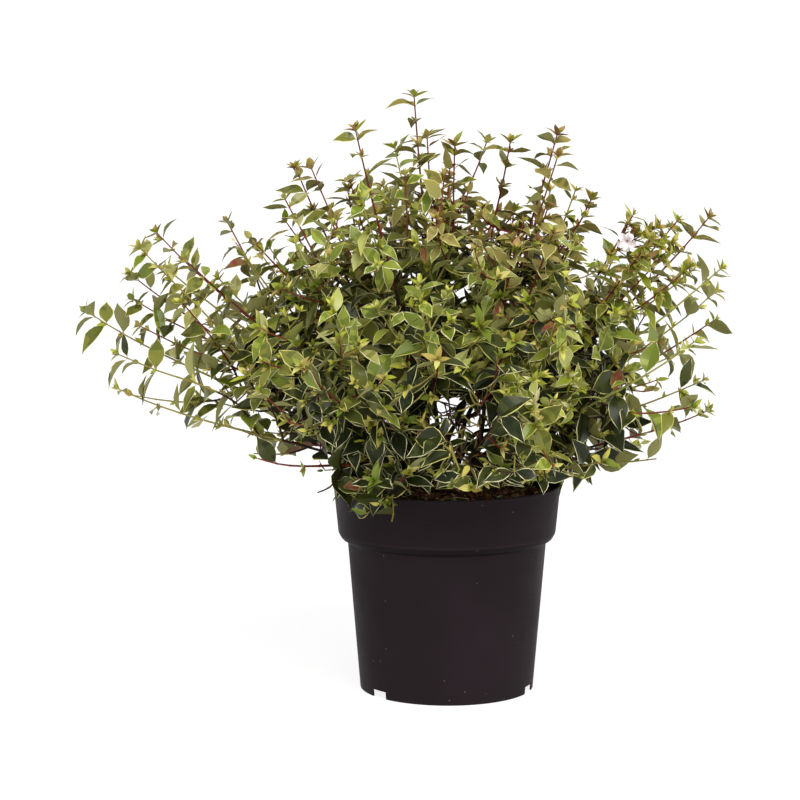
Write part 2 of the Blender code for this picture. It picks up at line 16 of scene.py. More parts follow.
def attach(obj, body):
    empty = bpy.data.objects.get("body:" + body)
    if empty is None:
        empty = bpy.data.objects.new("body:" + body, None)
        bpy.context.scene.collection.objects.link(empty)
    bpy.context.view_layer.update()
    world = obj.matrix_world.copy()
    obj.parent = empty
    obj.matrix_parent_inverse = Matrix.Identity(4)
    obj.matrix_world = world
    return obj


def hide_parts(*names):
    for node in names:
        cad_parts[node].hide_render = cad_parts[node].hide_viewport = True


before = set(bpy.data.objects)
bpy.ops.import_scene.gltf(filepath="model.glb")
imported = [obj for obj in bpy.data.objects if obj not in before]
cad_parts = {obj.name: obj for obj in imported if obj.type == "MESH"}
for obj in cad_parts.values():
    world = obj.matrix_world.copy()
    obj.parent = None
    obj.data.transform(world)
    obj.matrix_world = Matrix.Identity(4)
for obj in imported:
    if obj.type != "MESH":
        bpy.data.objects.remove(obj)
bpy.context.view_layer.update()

UP = Vector((0, 0, 1))
BODY = "root"

# Pot and compost, with the sizes of their solids
POT_HEIGHT = 0.2043
POT_WALL = 0.0016
RIM_RADIUS = 0.1125
BAND_FOOT_RADIUS = 0.1073
BAND_FOOT_Z = 0.1560
BODY_TOP_RADIUS = 0.0981
BODY_TOP_Z = 0.1475
FOOT_RADIUS = 0.0858
FLOOR_RAISED_Z = 0.0085
FLOOR_PAD_RADIUS = 0.046
FLOOR_THICK = 0.002
NOTCH_AZIMUTHS = (-141, -21, 99)
NOTCH_WIDTH = 0.020
NOTCH_HEIGHT = 0.0075
DRAIN_HOLES = 5
DRAIN_HOLE_RADIUS = 0.0045
DRAIN_RING_RADIUS = 0.066
SOIL_EDGE_Z = 0.192
SOIL_MOUND_Z = 0.196
SOIL_MOUND_RADIUS = 0.040
SOIL_RINGS = 44
SOIL_SIDES = 160

# The gap between solids that meet
CLEARANCE = 0.0003

# Limbs, as in the solids: (azimuth of the foot on its ring, lean of the stem from upright), in degrees
STEMS = {
    "right": (-12, 17),
    "back_right": (62, 15),
    "back_left": (128, 16),
    "left": (186, 18),
    "front": (-92, 15),
}
STEM_RING_RADIUS = 0.017
STEM_LENGTH = 0.052
STEM_FOOT_RADIUS = 0.0044
STEM_TIP_RADIUS = 0.0031
ROOT_FLARE = 1.75
BOUGH_STEPS = 5
STUB_SHORTEST = 0.0085
STUB_LONGEST = 0.060
STUB_ROOM = 0.0016
BOUGH_FOOT_RADIUS = 0.0024
BOUGH_TIP_RADIUS = 0.0017
TWIG_RADIUS = 0.0012

# The bark's relief, as shares of a limb's radius, how soon the root flare's lobes fade, and rings' spacing
RIDGE_DEPTH, GRAIN_DEPTH = 0.16, 0.09
FLARE_FADE = 0.006
STEM_RINGS = 44
RING_SPACING = 0.0014

# Masses of foliage: (stem that bears it, azimuth, elevation, reach, where its leaves begin).
# Angles are in degrees and lengths in metres, all measured from the heart of the bush.
HEART = Vector((0, 0, SOIL_MOUND_Z))
MASSES = {
    "top": ("back_left", 165, 85, 0.388, 0.15),
    "upper_right": ("right", -12, 73, 0.366, 0.14),
    "upper_back_right": ("back_right", 50, 60, 0.335, 0.12),
    "upper_back": ("back_left", 112, 60, 0.340, 0.12),
    "upper_left": ("left", 178, 65, 0.350, 0.13),
    "upper_front_left": ("left", -130, 69, 0.380, 0.12),
    "upper_front_right": ("front", -58, 56, 0.315, 0.11),
    "right_high": ("right", -8, 47, 0.370, 0.12),
    "right": ("back_right", 16, 34, 0.340, 0.11),
    "right_front": ("right", -34, 31, 0.315, 0.10),
    "front_high": ("front", -98, 46, 0.305, 0.095),
    "front": ("front", -80, 24, 0.268, 0.080),
    "front_left": ("front", -122, 30, 0.292, 0.085),
    "left_far": ("left", -177, 27, 0.394, 0.11),
    "left_high": ("left", 172, 41, 0.385, 0.12),
    "back_left_high": ("back_left", 146, 45, 0.340, 0.11),
    "back_left": ("back_left", 138, 25, 0.325, 0.10),
    "back": ("back_left", 96, 33, 0.325, 0.10),
    "back_right": ("back_right", 52, 31, 0.310, 0.10),
    "low_right": ("right", -6, 18, 0.266, 0.085),
    "left_low": ("left", -162, 19, 0.345, 0.085),
}
# Low masses that spring straight from a stem, with the same figures
SKIRTS = {
    "low_front_right": ("front", -48, 14, 0.215, 0.055),
    "low_front_left": ("front", -112, 11, 0.190, 0.055),
    "low_left": ("left", -141, 13, 0.235, 0.055),
    "low_back_left": ("back_left", 160, 13, 0.240, 0.055),
    "low_back": ("back_left", 98, 13, 0.215, 0.055),
    "low_back_right": ("back_right", 38, 13, 0.225, 0.055),
}
ROWS = {**MASSES, **SKIRTS}
LOWEST_LIMB = 0.24
BOUGH_RISE = 0.30
SKIRT_RISE = 0.25
TIP_RISE = 0.16

# Twigs of the solids
LEADER_STEPS = 8
TWIGS = 5
TWIG_TRIES = 60
TWIG_SPREAD = 0.45
TWIG_SHORTEST = 0.032
TWIG_ROOM = 0.004
TWIG_END_MARGIN = 0.010
TWIG_LEAVES_AT = 0.70
TWIG_REACH = 0.90
# Powers that spread the drawn ends outward, and how much more the room off a line counts than that off an end
TWIG_OUTNESS, FINE_OUTNESS = 0.6, 0.8
OFF_LEADER, OFF_LINES = 1.3, 1.4
SIDE_ONWARD = 0.6
SIDE_RISE = 0.15
SPACE_MARGIN = 0.0008
LIMB_MARGIN = 0.0012
RIM_MARGIN = 0.003
UNDERSIDE_Z = 0.186
UNDERSIDE_RADIUS = 0.138
UNDERSIDE_SLOPE = 0.60
BLOSSOM_MASS = "right_high"
BLOSSOM_PLACE = (-16, 55, 0.292)

# Finer shoots
FINE_SHOOTS = 66
FINE_TRIES = 22
FINE_SHORTEST = 0.0075
FINE_OUTER = 0.022
FINE_LONGEST = 0.085
FINE_SIZES = (0.84, 1.0)
# How far a side shoot may slant from its parent, in radians, and the slant that it takes if it can
LEAST_SLANT, BEST_SLANT, MOST_SLANT = 0.25, 0.75, 1.35
# How full the masses look in the photograph: the share of the usual count of fine shoots, and how far they go
PACKED, FULL, EVEN, AIRY, THIN = (1.3, 0.78), (1.3, 0.94), (0.8, 0.88), (0.65, 0.78), (0.3, 0.72)
FULLNESS = {
    "top": PACKED,
    "upper_right": PACKED,
    "upper_left": PACKED,
    "upper_front_right": FULL,
    "front": FULL,
    "front_left": FULL,
    "left_far": AIRY,
    "left_high": AIRY,
    "right_high": AIRY,
    "right": AIRY,
    "right_front": AIRY,
    "back_left_high": AIRY,
    "back_left": THIN,
    "left_low": THIN,
    "low_left": THIN,
    "low_right": THIN,
}
# What the draws start from. A mass's number is added to the first three: places, tufts and colours.
FIRST_SEED, TUFT_SEED, PAINT_SEED = 3000, 2000, 3000
BLOSSOM_SEED, CRUMB_SEED, LITTER_SEED = 3, 5, 6
# Long shoots that stand out of the crown: (azimuth, elevation, distance of the tip) from the heart
OUTER = {
    "top": ((-124, 84, 0.349), (-78, 85, 0.341)),
    "upper_right": ((-27, 79, 0.349), (-31, 70, 0.351), (-14, 67, 0.322), (-12, 64, 0.320)),
    "upper_left": ((-167, 67, 0.345), (-169, 61, 0.330), (-162, 52, 0.312), (-162, 72, 0.320)),
    "left_high": ((-172, 50, 0.322), (-173, 42, 0.341)),
    "left_far": ((-168, 39, 0.386), (-174, 29, 0.342)),
    "left_low": ((-162, 24, 0.358),),
    "right_high": (
        (-19, 56, 0.330),
        (-16, 50, 0.351),
        (-28, 50, 0.330),
        (-16, 48, 0.322),
        (-13, 40, 0.347),
    ),
    "right": ((6, 32, 0.314),),
    "right_front": ((-23, 25, 0.286),),
    "low_right": ((-17, 11, 0.213),),
}
# More of them, grown last and bare in the given share next to the leader
LATE_BARE = 0.55
LATE = {
    "left_far": ((-175, 35, 0.376), (-176, 32, 0.360)),
    "left_high": ((-174, 39, 0.350),),
}
OUTER_ROOT = 0.55
SHORTEST_LINE = 4
OUTER_RADIUS = 0.0013
FINE_END_MARGIN = 0.004
FINE_RADIUS = 0.00085
SHOOT_TIP_RADIUS = 0.00065
NODE_SWELLING = 1.30
NODE_HALF = 0.0012
SHOOT_SIDES = 6
SHOOT_RING_SPACING = 0.012

# The share of each kind of shoot, next to its foot, that has no leaves
BOUGH_BARE, SKIRT_BARE, TWIG_BARE, FINE_BARE = 0.12, 0.6, 0.08, 0.10
WOODY_SHARE = 0.35
BARE_TIP = 0.004

# Leaves: the length of a grown one, and how it varies along a shoot
LEAF_LENGTH = 0.0315
LEAF_VARIETY = (0.76, 1.14)
YOUNGEST_SHARE, GROWN_AFTER = 0.78, 0.030
LOW_LEAF_GAIN = 1.20
INNER_LEAF_GAIN = 1.16
INNER_SHARE = 0.64
LEAF_TRIES = 5
# The angle between a leaf and its shoot, in degrees, how much wider it is where leaves are old, and its stray
LEAF_ANGLE, OLD_ANGLE, OLD_AFTER, ANGLE_STRAY = 50, 17, 0.04, 12
LEAF_DROOP = (0.02, 0.30)
YOUNG_STRAY = 10
# How much a blade faces up, outward and its own way
FACE_UP, FACE_OUTWARD, FACE_STRAY = 0.50, 0.70, 0.75
# How often a leaf is missing at the tip, and how much more often at the foot
MISSING_SHARE, MISSING_OLD = 0.05, 0.14
# The spans that the forms of leaves are drawn from, in this order: the width is a share of the length, the
# margin is in metres and the rest are shares and radians
GROWN_FORM = {
    "width": (0.36, 0.53),
    "fold": (0.10, 0.62),
    "bend": (0.0, 1.05),
    "sweep": (-0.25, 0.25),
    "twist": (-0.7, 0.7),
    "margin": (0.0003, 0.0008),
    "wave": (0.0, 0.15),
    "phase": (0, 6.3),
    "teeth": (0.0, 0.05),
}
YOUNG_FORM = {"width": (0.42, 0.58), "fold": (0.2, 0.7), "bend": (-0.2, 0.6), "sweep": (-0.2, 0.2)}
FALLEN_FORM = {
    "width": (0.38, 0.55),
    "fold": (0.1, 0.5),
    "bend": (-0.3, 0.7),
    "sweep": (-0.4, 0.4),
    "twist": (-0.5, 0.5),
    "wave": (0.05, 0.25),
    "phase": (0, 6.3),
}
FALLEN_MARGIN, FALLEN_TEETH = 0.0008, 0.05
# Grown and young leaves of the tufted looks are this much shorter and slimmer
TUFTED_SHORT, TUFTED_SLIM, TUFTED_YOUNG_SLIM = 0.86, 0.64, 0.8
LEAF_ROOM = 0.0055
INTERNODE_TIP = 0.0095
INTERNODE_GROWTH = 1.20
INTERNODE_LONGEST = 0.0160
INTERNODE_MAIN = 0.0200
DEAD_SHARE = 0.003
# Tufts of young leaves: pairs and size, at the tips of main and fine shoots and in the corners of leaves
MAIN_TIP, FINE_TIP = (4, 0.0135, 0.0195), (3, 0.010, 0.0155)
TUFTED_CORNER, OTHER_CORNER = (5, 0.009, 0.014), (2, 0.006, 0.012)
TUFT_ANGLE, TUFT_OPENING, TUFT_SHRINK, TUFT_STEP = 14, 17, 0.20, 0.0006
# How often a leaf has a young tuft in its corner
TUFT_SHARE = 0.36
TUFT_SHARES = {"deep": 0.10, "shade": 0.22, "sage": 0.46, "lime": 1.0, "sprout": 1.0}
TUFTED = ("lime", "sprout")
# How much of a blade has patches of another tint, and which tint
PATCH_SHARE = 0.22
PATCHES = {
    "deep_1": "deep_2",
    "deep_2": "deep_3",
    "deep_3": "deep_2",
    "olive_1": "olive_2",
    "olive_2": "olive_1",
    "fresh_1": "fresh_2",
    "fresh_2": "fresh_1",
    "sage_1": "olive_2",
    "sage_2": "sage_1",
    "dusk_1": "olive_1",
    "dusk_2": "dusk_1",
}
# Half the blade's outline: (share of the length, share of the width). The first two hold the leaf stalk.
BLADE = (
    (0.00, 0.026),
    (0.08, 0.028),
    (0.15, 0.180),
    (0.27, 0.380),
    (0.42, 0.495),
    (0.58, 0.460),
    (0.74, 0.300),
    (0.88, 0.115),
)
# A young leaf's, which has no pale margin of its own
YOUNG_BLADE = ((0.00, 0.06), (0.30, 0.42), (0.62, 0.36))

# Places that have few leaves, as seen from the front: (x, z, half width, half height, share that is kept).
# The first is the gap low in the middle where the photograph shows sky. The line of sight falls away.
# Shoots that end where no leaf is kept are cut short.
SPARSE = (
    (0.014, 0.260, 0.033, 0.046, 0.09),
    (-0.226, 0.228, 0.036, 0.026, 0),
    (-0.175, 0.244, 0.050, 0.024, 0.45),
    (-0.126, 0.214, 0.020, 0.022, 0.3),
    (-0.255, 0.306, 0.060, 0.022, 0.5),
    (-0.190, 0.444, 0.020, 0.016, 0.4),
    (0.112, 0.491, 0.018, 0.020, 0.4),
    (0.165, 0.466, 0.012, 0.012, 0.4),
    (0.201, 0.310, 0.030, 0.032, 0.35),
    (0.243, 0.342, 0.022, 0.040, 0.6),
    (0.166, 0.232, 0.035, 0.020, 0.4),
    (0.252, 0.384, 0.018, 0.026, 0.5),
)
SIGHT_FALL = 0.134

# Plain colours as 0-255 sRGB values
TINTS = {
    "deep_1": (29, 36, 12),
    "deep_2": (39, 46, 16),
    "deep_3": (58, 64, 24),
    "olive_1": (90, 95, 34),
    "olive_2": (114, 116, 44),
    "olive_3": (144, 138, 72),
    "dusk_1": (130, 119, 62),
    "dusk_2": (148, 135, 76),
    "dusk_3": (172, 156, 88),
    "fresh_1": (108, 122, 38),
    "fresh_2": (138, 148, 56),
    "fresh_3": (168, 171, 90),
    "sage_1": (148, 145, 80),
    "sage_2": (172, 168, 106),
    "lime_1": (160, 164, 52),
    "lime_2": (198, 196, 88),
    "lime_3": (132, 142, 36),
    "bronze_1": (168, 150, 78),
    "bronze_2": (160, 128, 78),
    "bronze_3": (134, 98, 66),
    "cream_1": (226, 219, 172),
    "cream_2": (204, 198, 146),
    "straw_1": (200, 192, 110),
    "straw_2": (180, 171, 84),
    "under_1": (134, 132, 78),
    "under_2": (152, 151, 94),
    "under_3": (114, 113, 62),
    "wine": (108, 36, 32),
    "rust": (122, 62, 44),
    "tan": (138, 126, 62),
    "pale": (156, 155, 84),
    "brown": (52, 34, 24),
    "dead": (118, 84, 54),
    "petal": (250, 240, 241),
    "blush": (218, 178, 174),
}
# Roughness and specular of the satin ones
SHEENS = {
    "deep": (0.38, 0.20),
    "olive": (0.30, 0.28),
    "fresh": (0.30, 0.30),
    "sage": (0.30, 0.30),
    "lime": (0.30, 0.30),
}
# Looks of a spray, each with the tints that are dealt out on it
LOOKS = {
    "deep": {
        "blade": ("deep_1", "deep_1", "deep_2", "deep_2", "deep_3"),
        "margin": ("cream_1", "cream_2", "cream_2", "straw_1"),
        "under": ("under_3", "deep_3"),
        "young": ("fresh_1", "straw_2", "olive_2"),
        "shoot": ("tan", "brown", "brown"),
    },
    "shade": {
        "blade": ("deep_2", "deep_3", "deep_3", "olive_1", "olive_1"),
        "margin": ("straw_2", "straw_1", "cream_2"),
        "under": ("under_3", "olive_1"),
        "young": ("fresh_1", "lime_3", "olive_2"),
        "shoot": ("tan", "wine", "brown"),
    },
    "olive": {
        "blade": ("olive_1", "olive_1", "olive_2", "deep_3", "fresh_1"),
        "margin": ("straw_1", "cream_2"),
        "under": ("under_1", "under_2"),
        "young": ("lime_1", "fresh_2", "bronze_1", "straw_1"),
        "shoot": ("wine", "rust", "tan"),
    },
    "bronze": {
        "blade": ("dusk_1", "dusk_2", "dusk_1", "olive_2", "olive_3"),
        "margin": ("straw_1", "straw_2", "cream_2"),
        "under": ("under_1", "under_2", "dusk_1"),
        "young": ("bronze_1", "bronze_1", "bronze_2", "lime_3", "dusk_3", "lime_1", "bronze_3"),
        "shoot": ("wine", "wine", "rust"),
    },
    "fresh": {
        "blade": ("fresh_1", "fresh_1", "fresh_2", "fresh_3"),
        "margin": ("cream_1", "straw_1"),
        "under": ("under_2", "fresh_3"),
        "young": ("lime_2", "fresh_3", "lime_1"),
        "shoot": ("pale",),
    },
    "sage": {
        "blade": ("sage_1", "sage_2", "olive_2", "fresh_1"),
        "margin": ("cream_2", "straw_1"),
        "under": ("under_1", "under_2"),
        "young": ("lime_1", "fresh_2", "dusk_3", "straw_1"),
        "shoot": ("tan", "rust", "tan", "wine"),
    },
    "sprout": {
        "blade": ("fresh_1", "olive_1", "olive_2", "lime_3"),
        "margin": ("cream_2", "straw_1", "straw_2"),
        "under": ("under_1", "under_2"),
        "young": ("lime_1", "lime_3", "bronze_1", "bronze_2", "straw_2"),
        "shoot": ("wine", "rust"),
    },
    "lime": {
        "blade": ("lime_1", "lime_3", "fresh_1", "fresh_2", "fresh_3"),
        "margin": ("cream_1", "straw_1"),
        "under": ("fresh_3", "under_2"),
        "young": ("lime_1", "lime_2", "lime_2", "lime_3", "straw_1", "cream_2", "cream_2"),
        "shoot": ("tan", "pale"),
    },
}
# Blade, margin and underside of fallen leaves
FALLEN_TINTS = (
    ("rust", "tan", "rust"),
    ("brown", "rust", "brown"),
    ("bronze_1", "cream_2", "tan"),
    ("deep_3", "cream_2", "under_3"),
    ("olive_1", "cream_2", "under_1"),
)
CRUMBS, FALLEN_LEAVES = 1500, 70
# Dark and light colours of the crumbs
CRUMB_TINTS = {
    "dark": ((62, 40, 28), (112, 76, 52)),
    "brown": ((118, 76, 50), (168, 118, 82)),
    "pale": ((150, 120, 86), (200, 170, 130)),
}
# Leaves below this height are longer
LOW_Z = 0.365
# Sprays this near the middle are deep green below the first height, and in half shade below the second
SHADE_Z, MIDDLE_Z, LOW_HALF_WIDTH = 0.335, 0.425, 0.165
# So are the inner leaves there, but only below this height
DEEP_Z = 0.42
# In front of the pot the leaves stay over this height between these azimuths, so that the compost shows
FRONT_CLEAR_Z = 0.224
FRONT_CLEAR = (-112, -25)
# The lowest that leaves hang beyond the rim on each side: the height at the rim, and how it rises outward.
# The second pair is for all but the main shoots.
LEFT_UNDERSIDES = ((0.205, 0.34), (0.232, 0.60))
RIGHT_UNDERSIDES = ((0.188, 0.55), (0.206, 0.75))
# Places with a look of their own: (look, centre, radius)
PLACES = (
    ("lime", Vector((0.084, -0.155, 0.300)), 0.055),
    ("sprout", Vector((0.200, -0.075, 0.435)), 0.046),
)
FRESH_PLACE, FRESH_RADIUS, FRESH_SHARE = Vector((-0.070, -0.120, 0.440)), 0.095, 0.6
# Above this height most are bronze
BRONZE_Z, BRONZE_SHARE = 0.44, 0.85
# Looks that are dealt out elsewhere
LEFT_X = -0.12
SHARES = {
    "shaded": ("deep", "deep", "deep", "deep", "deep", "olive"),
    "half shaded": ("shade", "shade", "olive", "olive", "sage", "fresh"),
    "left": ("sage", "sage", "olive"),
    "other": ("olive", "olive", "sage", "fresh"),
}
# Leaves nearer the heart than this share of the mass's reach are darker: low ones and others
INNER_LOW, INNER_OTHER, INNER_STRAY = 0.68, 0.60, 0.12

# The open flower
PETALS = 5
PETAL_SIDES = 50
PETAL_RINGS = 13
PETAL_THICK = 0.0003
FLOWER_FOOT_RADIUS = 0.0010
FLOWER_THROAT_RADIUS = 0.0036
FLOWER_RADIUS = 0.0096
FLOWER_LENGTH = 0.0150
FLOWER_STALK_RADIUS = 0.0006
FLOWER_STALK = (0.010, -0.008, 0.011)
FLOWER_FACING = (-0.22, -0.93, -0.12)
BLOSSOM_CENTRE = Vector((0.1645, -0.066, 0.4425))
BLOSSOM_ROOM = 0.0125
# Short shoots in young leaf beside it: (azimuth, elevation, length, size of the leaves)
BLOSSOM_SPRAYS = (
    (-20, 70, 0.022, 0.015),
    (-30, 44, 0.026, 0.017),
    (-40, 24, 0.034, 0.018),
    (-24, 30, 0.044, 0.018),
    (-36, 8, 0.046, 0.018),
    (-24, 10, 0.054, 0.017),
    (-44, -8, 0.034, 0.017),
    (-28, -8, 0.046, 0.017),
    (-50, -24, 0.030, 0.016),
    (10, 34, 0.036, 0.015),
)

# Painted light on the pot from just under its ledge to just over the band's foot: painted shade beneath the
# ledge, and a painted highlight line on the band's lower edge
LEDGE_FOOT_Z = BODY_TOP_Z - 0.002
LEDGE_TOP_Z = BAND_FOOT_Z + 0.006
LEDGE_PAINTED_LIGHT = ((0.0, 0.80), (0.10, 0.78), (0.14, 0.42), (0.56, 0.50), (0.66, 1.0), (0.82, 0.80))

# Pale specks on the pot: cells to the metre, and a speck's radius as a share of a cell
SPECK_SCALE = 79
SPECK_SIZE = 0.040

# Camera: as far and as high as the photograph was taken from, aimed so that the pot is right of the middle
PICTURE_SIZE = 800
FOCAL_PIXELS = 2440
SENSOR_WIDTH = 36
CAMERA_DISTANCE = 2.381
CAMERA_HEIGHT = 0.573
CAMERA_PITCH = 6.87
POT_PIXEL_X = 447.5

# Light: the floor's own brightness, the surround's as light and as it is seen, and the key light's strength,
# spread and direction
FLOOR_GLOW = 0.87
FILL_STRENGTH = 0.66
SEEN_STRENGTH = 1.1
KEY_STRENGTH = 2.7
KEY_SPREAD = 40
KEY_FROM = (0.32, -0.95, 0.98)


# Materials


def linear(tint):
    """An sRGB colour of 0-255 values as linear ones."""
    shares = [value / 255 for value in tint]
    return [s / 12.92 if s <= 0.04045 else ((s + 0.055) / 1.055) ** 2.4 for s in shares]


def principled(name, tint, roughness, specular=0.5):
    """A material with one plain colour, ready to have nodes added."""
    material = bpy.data.materials.new(name)
    material.use_nodes = True
    shader = material.node_tree.nodes["Principled BSDF"]
    shader.inputs["Base Color"].default_value = (*linear(tint), 1)
    shader.inputs["Roughness"].default_value = roughness
    shader.inputs["Specular IOR Level"].default_value = specular
    return material


def add_node(material, kind, **values):
    """A node with its input values set by socket name."""
    node = material.node_tree.nodes.new(kind)
    for socket, value in values.items():
        node.inputs[socket.replace("_", " ")].default_value = value
    return node


def shader_input(material, name):
    return material.node_tree.nodes["Principled BSDF"].inputs[name]


def feed(material, socket, value):
    """Links a field to a socket, or sets the socket's own value."""
    if isinstance(value, bpy.types.NodeSocket):
        material.node_tree.links.new(value, socket)
    else:
        socket.default_value = value


def noise_field(material, scale, detail=4, stretch=(1, 1, 1)):
    """The value of a noise pattern that lies in the object's own space."""
    place = add_node(material, "ShaderNodeTexCoord")
    mapping = add_node(material, "ShaderNodeMapping", Scale=stretch)
    pattern = add_node(material, "ShaderNodeTexNoise", Scale=scale, Detail=detail)
    feed(material, mapping.inputs["Vector"], place.outputs["Object"])
    feed(material, pattern.inputs["Vector"], mapping.outputs["Vector"])
    return pattern.outputs["Fac"]


def ramp(material, field, stops):
    """A colour ramp over a field: (position, linear colour) stops."""
    node = material.node_tree.nodes.new("ShaderNodeValToRGB")
    elements = node.color_ramp.elements
    for position, _ in stops[1:-1]:
        elements.new(position)
    elements[0].position, elements[-1].position = stops[0][0], stops[-1][0]
    for element, (_, colour) in zip(elements, stops):
        element.color = (*colour, 1)
    feed(material, node.inputs["Fac"], field)
    return node.outputs["Color"]


def bump(material, field, strength, distance):
    """Fine relief from a field."""
    node = add_node(material, "ShaderNodeBump", Strength=strength, Distance=distance)
    feed(material, node.inputs["Height"], field)
    feed(material, shader_input(material, "Normal"), node.outputs["Normal"])


def mix(material, first, second, factor=1, blend="MIX"):
    """The second colour laid over the first."""
    node = material.node_tree.nodes.new("ShaderNodeMix")
    node.data_type = "RGBA"
    node.blend_type = blend
    for name, value in (("Factor", factor), ("A", first), ("B", second)):
        feed(material, node.inputs[name], value)
    return node.outputs["Result"]


def pot_material():
    """Matt charcoal plastic with a fine grain, a few pale specks, faint smudges, and painted shade under the
    ledge with a painted highlight line at the band's foot.
    """
    material = principled("charcoal_plastic", (35, 28, 31), 0.55, 0.03)
    stops = ((0.35, linear((38, 31, 34))), (0.70, linear((42, 34, 38))))
    smudges = ramp(material, noise_field(material, 14, 3), stops)
    place = add_node(material, "ShaderNodeTexCoord").outputs["Object"]
    specks = add_node(material, "ShaderNodeTexVoronoi", Scale=SPECK_SCALE)
    feed(material, specks.inputs["Vector"], place)
    stops = ((SPECK_SIZE, (1, 1, 1)), (SPECK_SIZE + 0.01, (0, 0, 0)))
    dots = ramp(material, specks.outputs["Distance"], stops)
    specked = mix(material, smudges, (*linear((110, 98, 88)), 1), dots)
    height = add_node(material, "ShaderNodeSeparateXYZ")
    feed(material, height.inputs["Vector"], place)
    band = add_node(material, "ShaderNodeMapRange", From_Min=LEDGE_FOOT_Z, From_Max=LEDGE_TOP_Z)
    feed(material, band.inputs["Value"], height.outputs["Z"])
    # Painted shade under the ledge and a painted highlight line at the band's foot, multiplied into the base
    # colour
    painted_ledge_light = ramp(material, band.outputs["Result"], [(at, (grey,) * 3) for at, grey in LEDGE_PAINTED_LIGHT])
    feed(material, shader_input(material, "Base Color"), mix(material, specked, painted_ledge_light, 1, "MULTIPLY"))
    worn = ramp(material, noise_field(material, 22, 5), ((0.3, (0.42,) * 3), (0.75, (0.60,) * 3)))
    feed(material, shader_input(material, "Roughness"), worn)
    bump(material, noise_field(material, 900, 2), 0.10, 0.0004)
    return material


def bark_material():
    """Brown bark in long pale and dark streaks."""
    material = principled("bark", (58, 40, 28), 0.85, 0.2)
    streaks = noise_field(material, 260, 6, (1, 1, 0.22))
    stops = ((0.30, linear((28, 18, 13))), (0.52, linear((58, 38, 26))), (0.75, linear((104, 80, 58))))
    feed(material, shader_input(material, "Base Color"), ramp(material, streaks, stops))
    bump(material, noise_field(material, 520, 5, (1, 1, 0.3)), 0.6, 0.0006)
    return material


def compost_material(name, dark, light, scale):
    """Dark moist compost with paler fibres."""
    material = principled(name, dark, 0.95, 0.2)
    field = noise_field(material, scale, 8)
    fibres = [min(value * 1.5, 255) for value in light]
    stops = ((0.32, linear(dark)), (0.55, linear(light)), (0.80, linear(fibres)))
    feed(material, shader_input(material, "Base Color"), ramp(material, field, stops))
    bump(material, noise_field(material, scale * 3, 6), 0.7, 0.001)
    return material


def make_leaf_materials():
    """One plain material for each tint. Upper sides are satin, the darkest ones less so, the rest matt."""
    made = {}
    for name, tint in TINTS.items():
        roughness, specular = SHEENS.get(name.split("_")[0], (0.60, 0.15))
        made[name] = principled(f"leaf_{name}", tint, roughness, specular)
    return made


# Lines and directions


def polar(azimuth, elevation):
    """The unit vector at an azimuth from +X and an elevation above the horizon, in degrees."""
    a, e = math.radians(azimuth), math.radians(elevation)
    return Vector((math.cos(a) * math.cos(e), math.sin(a) * math.cos(e), math.sin(e)))


def curve_points(p0, p1, p2, p3, count):
    """Points along a cubic curve, both ends included."""
    found = []
    for step in range(count + 1):
        t = step / count
        s = 1 - t
        found.append(p0 * s**3 + p1 * 3 * s * s * t + p2 * 3 * s * t * t + p3 * t**3)
    return found


def segment_distance(point, first, last):
    onward = last - first
    share = min(max((point - first).dot(onward) / onward.length_squared, 0), 1)
    return (point - first.lerp(last, share)).length


def line_length(points):
    return sum((b - a).length for a, b in zip(points, points[1:]))


def along(points, share):
    """The point and the heading at a share of a line of points."""
    place = share * (len(points) - 1)
    low = min(int(place), len(points) - 2)
    heading = (points[low + 1] - points[low]).normalized()
    return points[low].lerp(points[low + 1], place - low), heading


def line_distance(point, line):
    return min((point - a.lerp(b, share)).length for a, b in zip(line, line[1:]) for share in (0, 0.5, 1))


def rounded_line(points, between=4):
    """A smooth line through the points, with some more between each two."""
    padded = [points[0] * 2 - points[1], *points, points[-1] * 2 - points[-2]]
    found = []
    for a, b, c, d in zip(padded, padded[1:], padded[2:], padded[3:]):
        first, second, third = c - a, a * 2 - b * 5 + c * 4 - d, b * 3 - a - c * 3 + d
        for step in range(between):
            t = step / between
            found.append((b * 2 + first * t + second * t * t + third * t**3) / 2)
    return [*found, points[-1]]


# Limbs, by the rule of the solids


def stem_curve(stem):
    """The foot, the tip and the heading of a stem."""
    azimuth, lean = STEMS[stem]
    foot = polar(azimuth, 0) * STEM_RING_RADIUS + UP * (SOIL_MOUND_Z + CLEARANCE)
    heading = polar(azimuth, 90 - lean)
    return foot, foot + heading * STEM_LENGTH, heading


def limb_roots(stem):
    """Where each limb of a stem leaves its line, and its heading there: the steepest leaves at the tip."""
    foot, tip, _ = stem_curve(stem)
    borne = {name: row for name, row in {**SKIRTS, **MASSES}.items() if row[0] == stem}
    order = sorted(borne, key=lambda name: borne[name][2])
    roots = {}
    for rank, name in enumerate(order):
        _, azimuth, elevation, _, _ = borne[name]
        share = LOWEST_LIMB + (1 - LOWEST_LIMB) * rank / (len(order) - 1)
        rise = SKIRT_RISE if name in SKIRTS else BOUGH_RISE
        heading = (polar(azimuth, elevation) + UP * rise).normalized()
        roots[name] = (foot.lerp(tip, share), heading)
    return roots


def stub_end(name, roots, foot, tip):
    """The stub runs on until its end stands clear of the stem and of the other limbs."""
    origin, heading = roots[name]
    others = [(start, start + way * 2 * STUB_LONGEST) for key, (start, way) in roots.items() if key != name]
    length = STUB_SHORTEST
    while length < STUB_LONGEST:
        end = origin + heading * length
        apart = min(segment_distance(end, *other) for other in others) - 2 * BOUGH_FOOT_RADIUS
        off_stem = segment_distance(end, foot, tip) - BOUGH_FOOT_RADIUS - STEM_FOOT_RADIUS
        if min(apart, off_stem) > STUB_ROOM:
            break
        length += 0.001
    return origin + heading * length


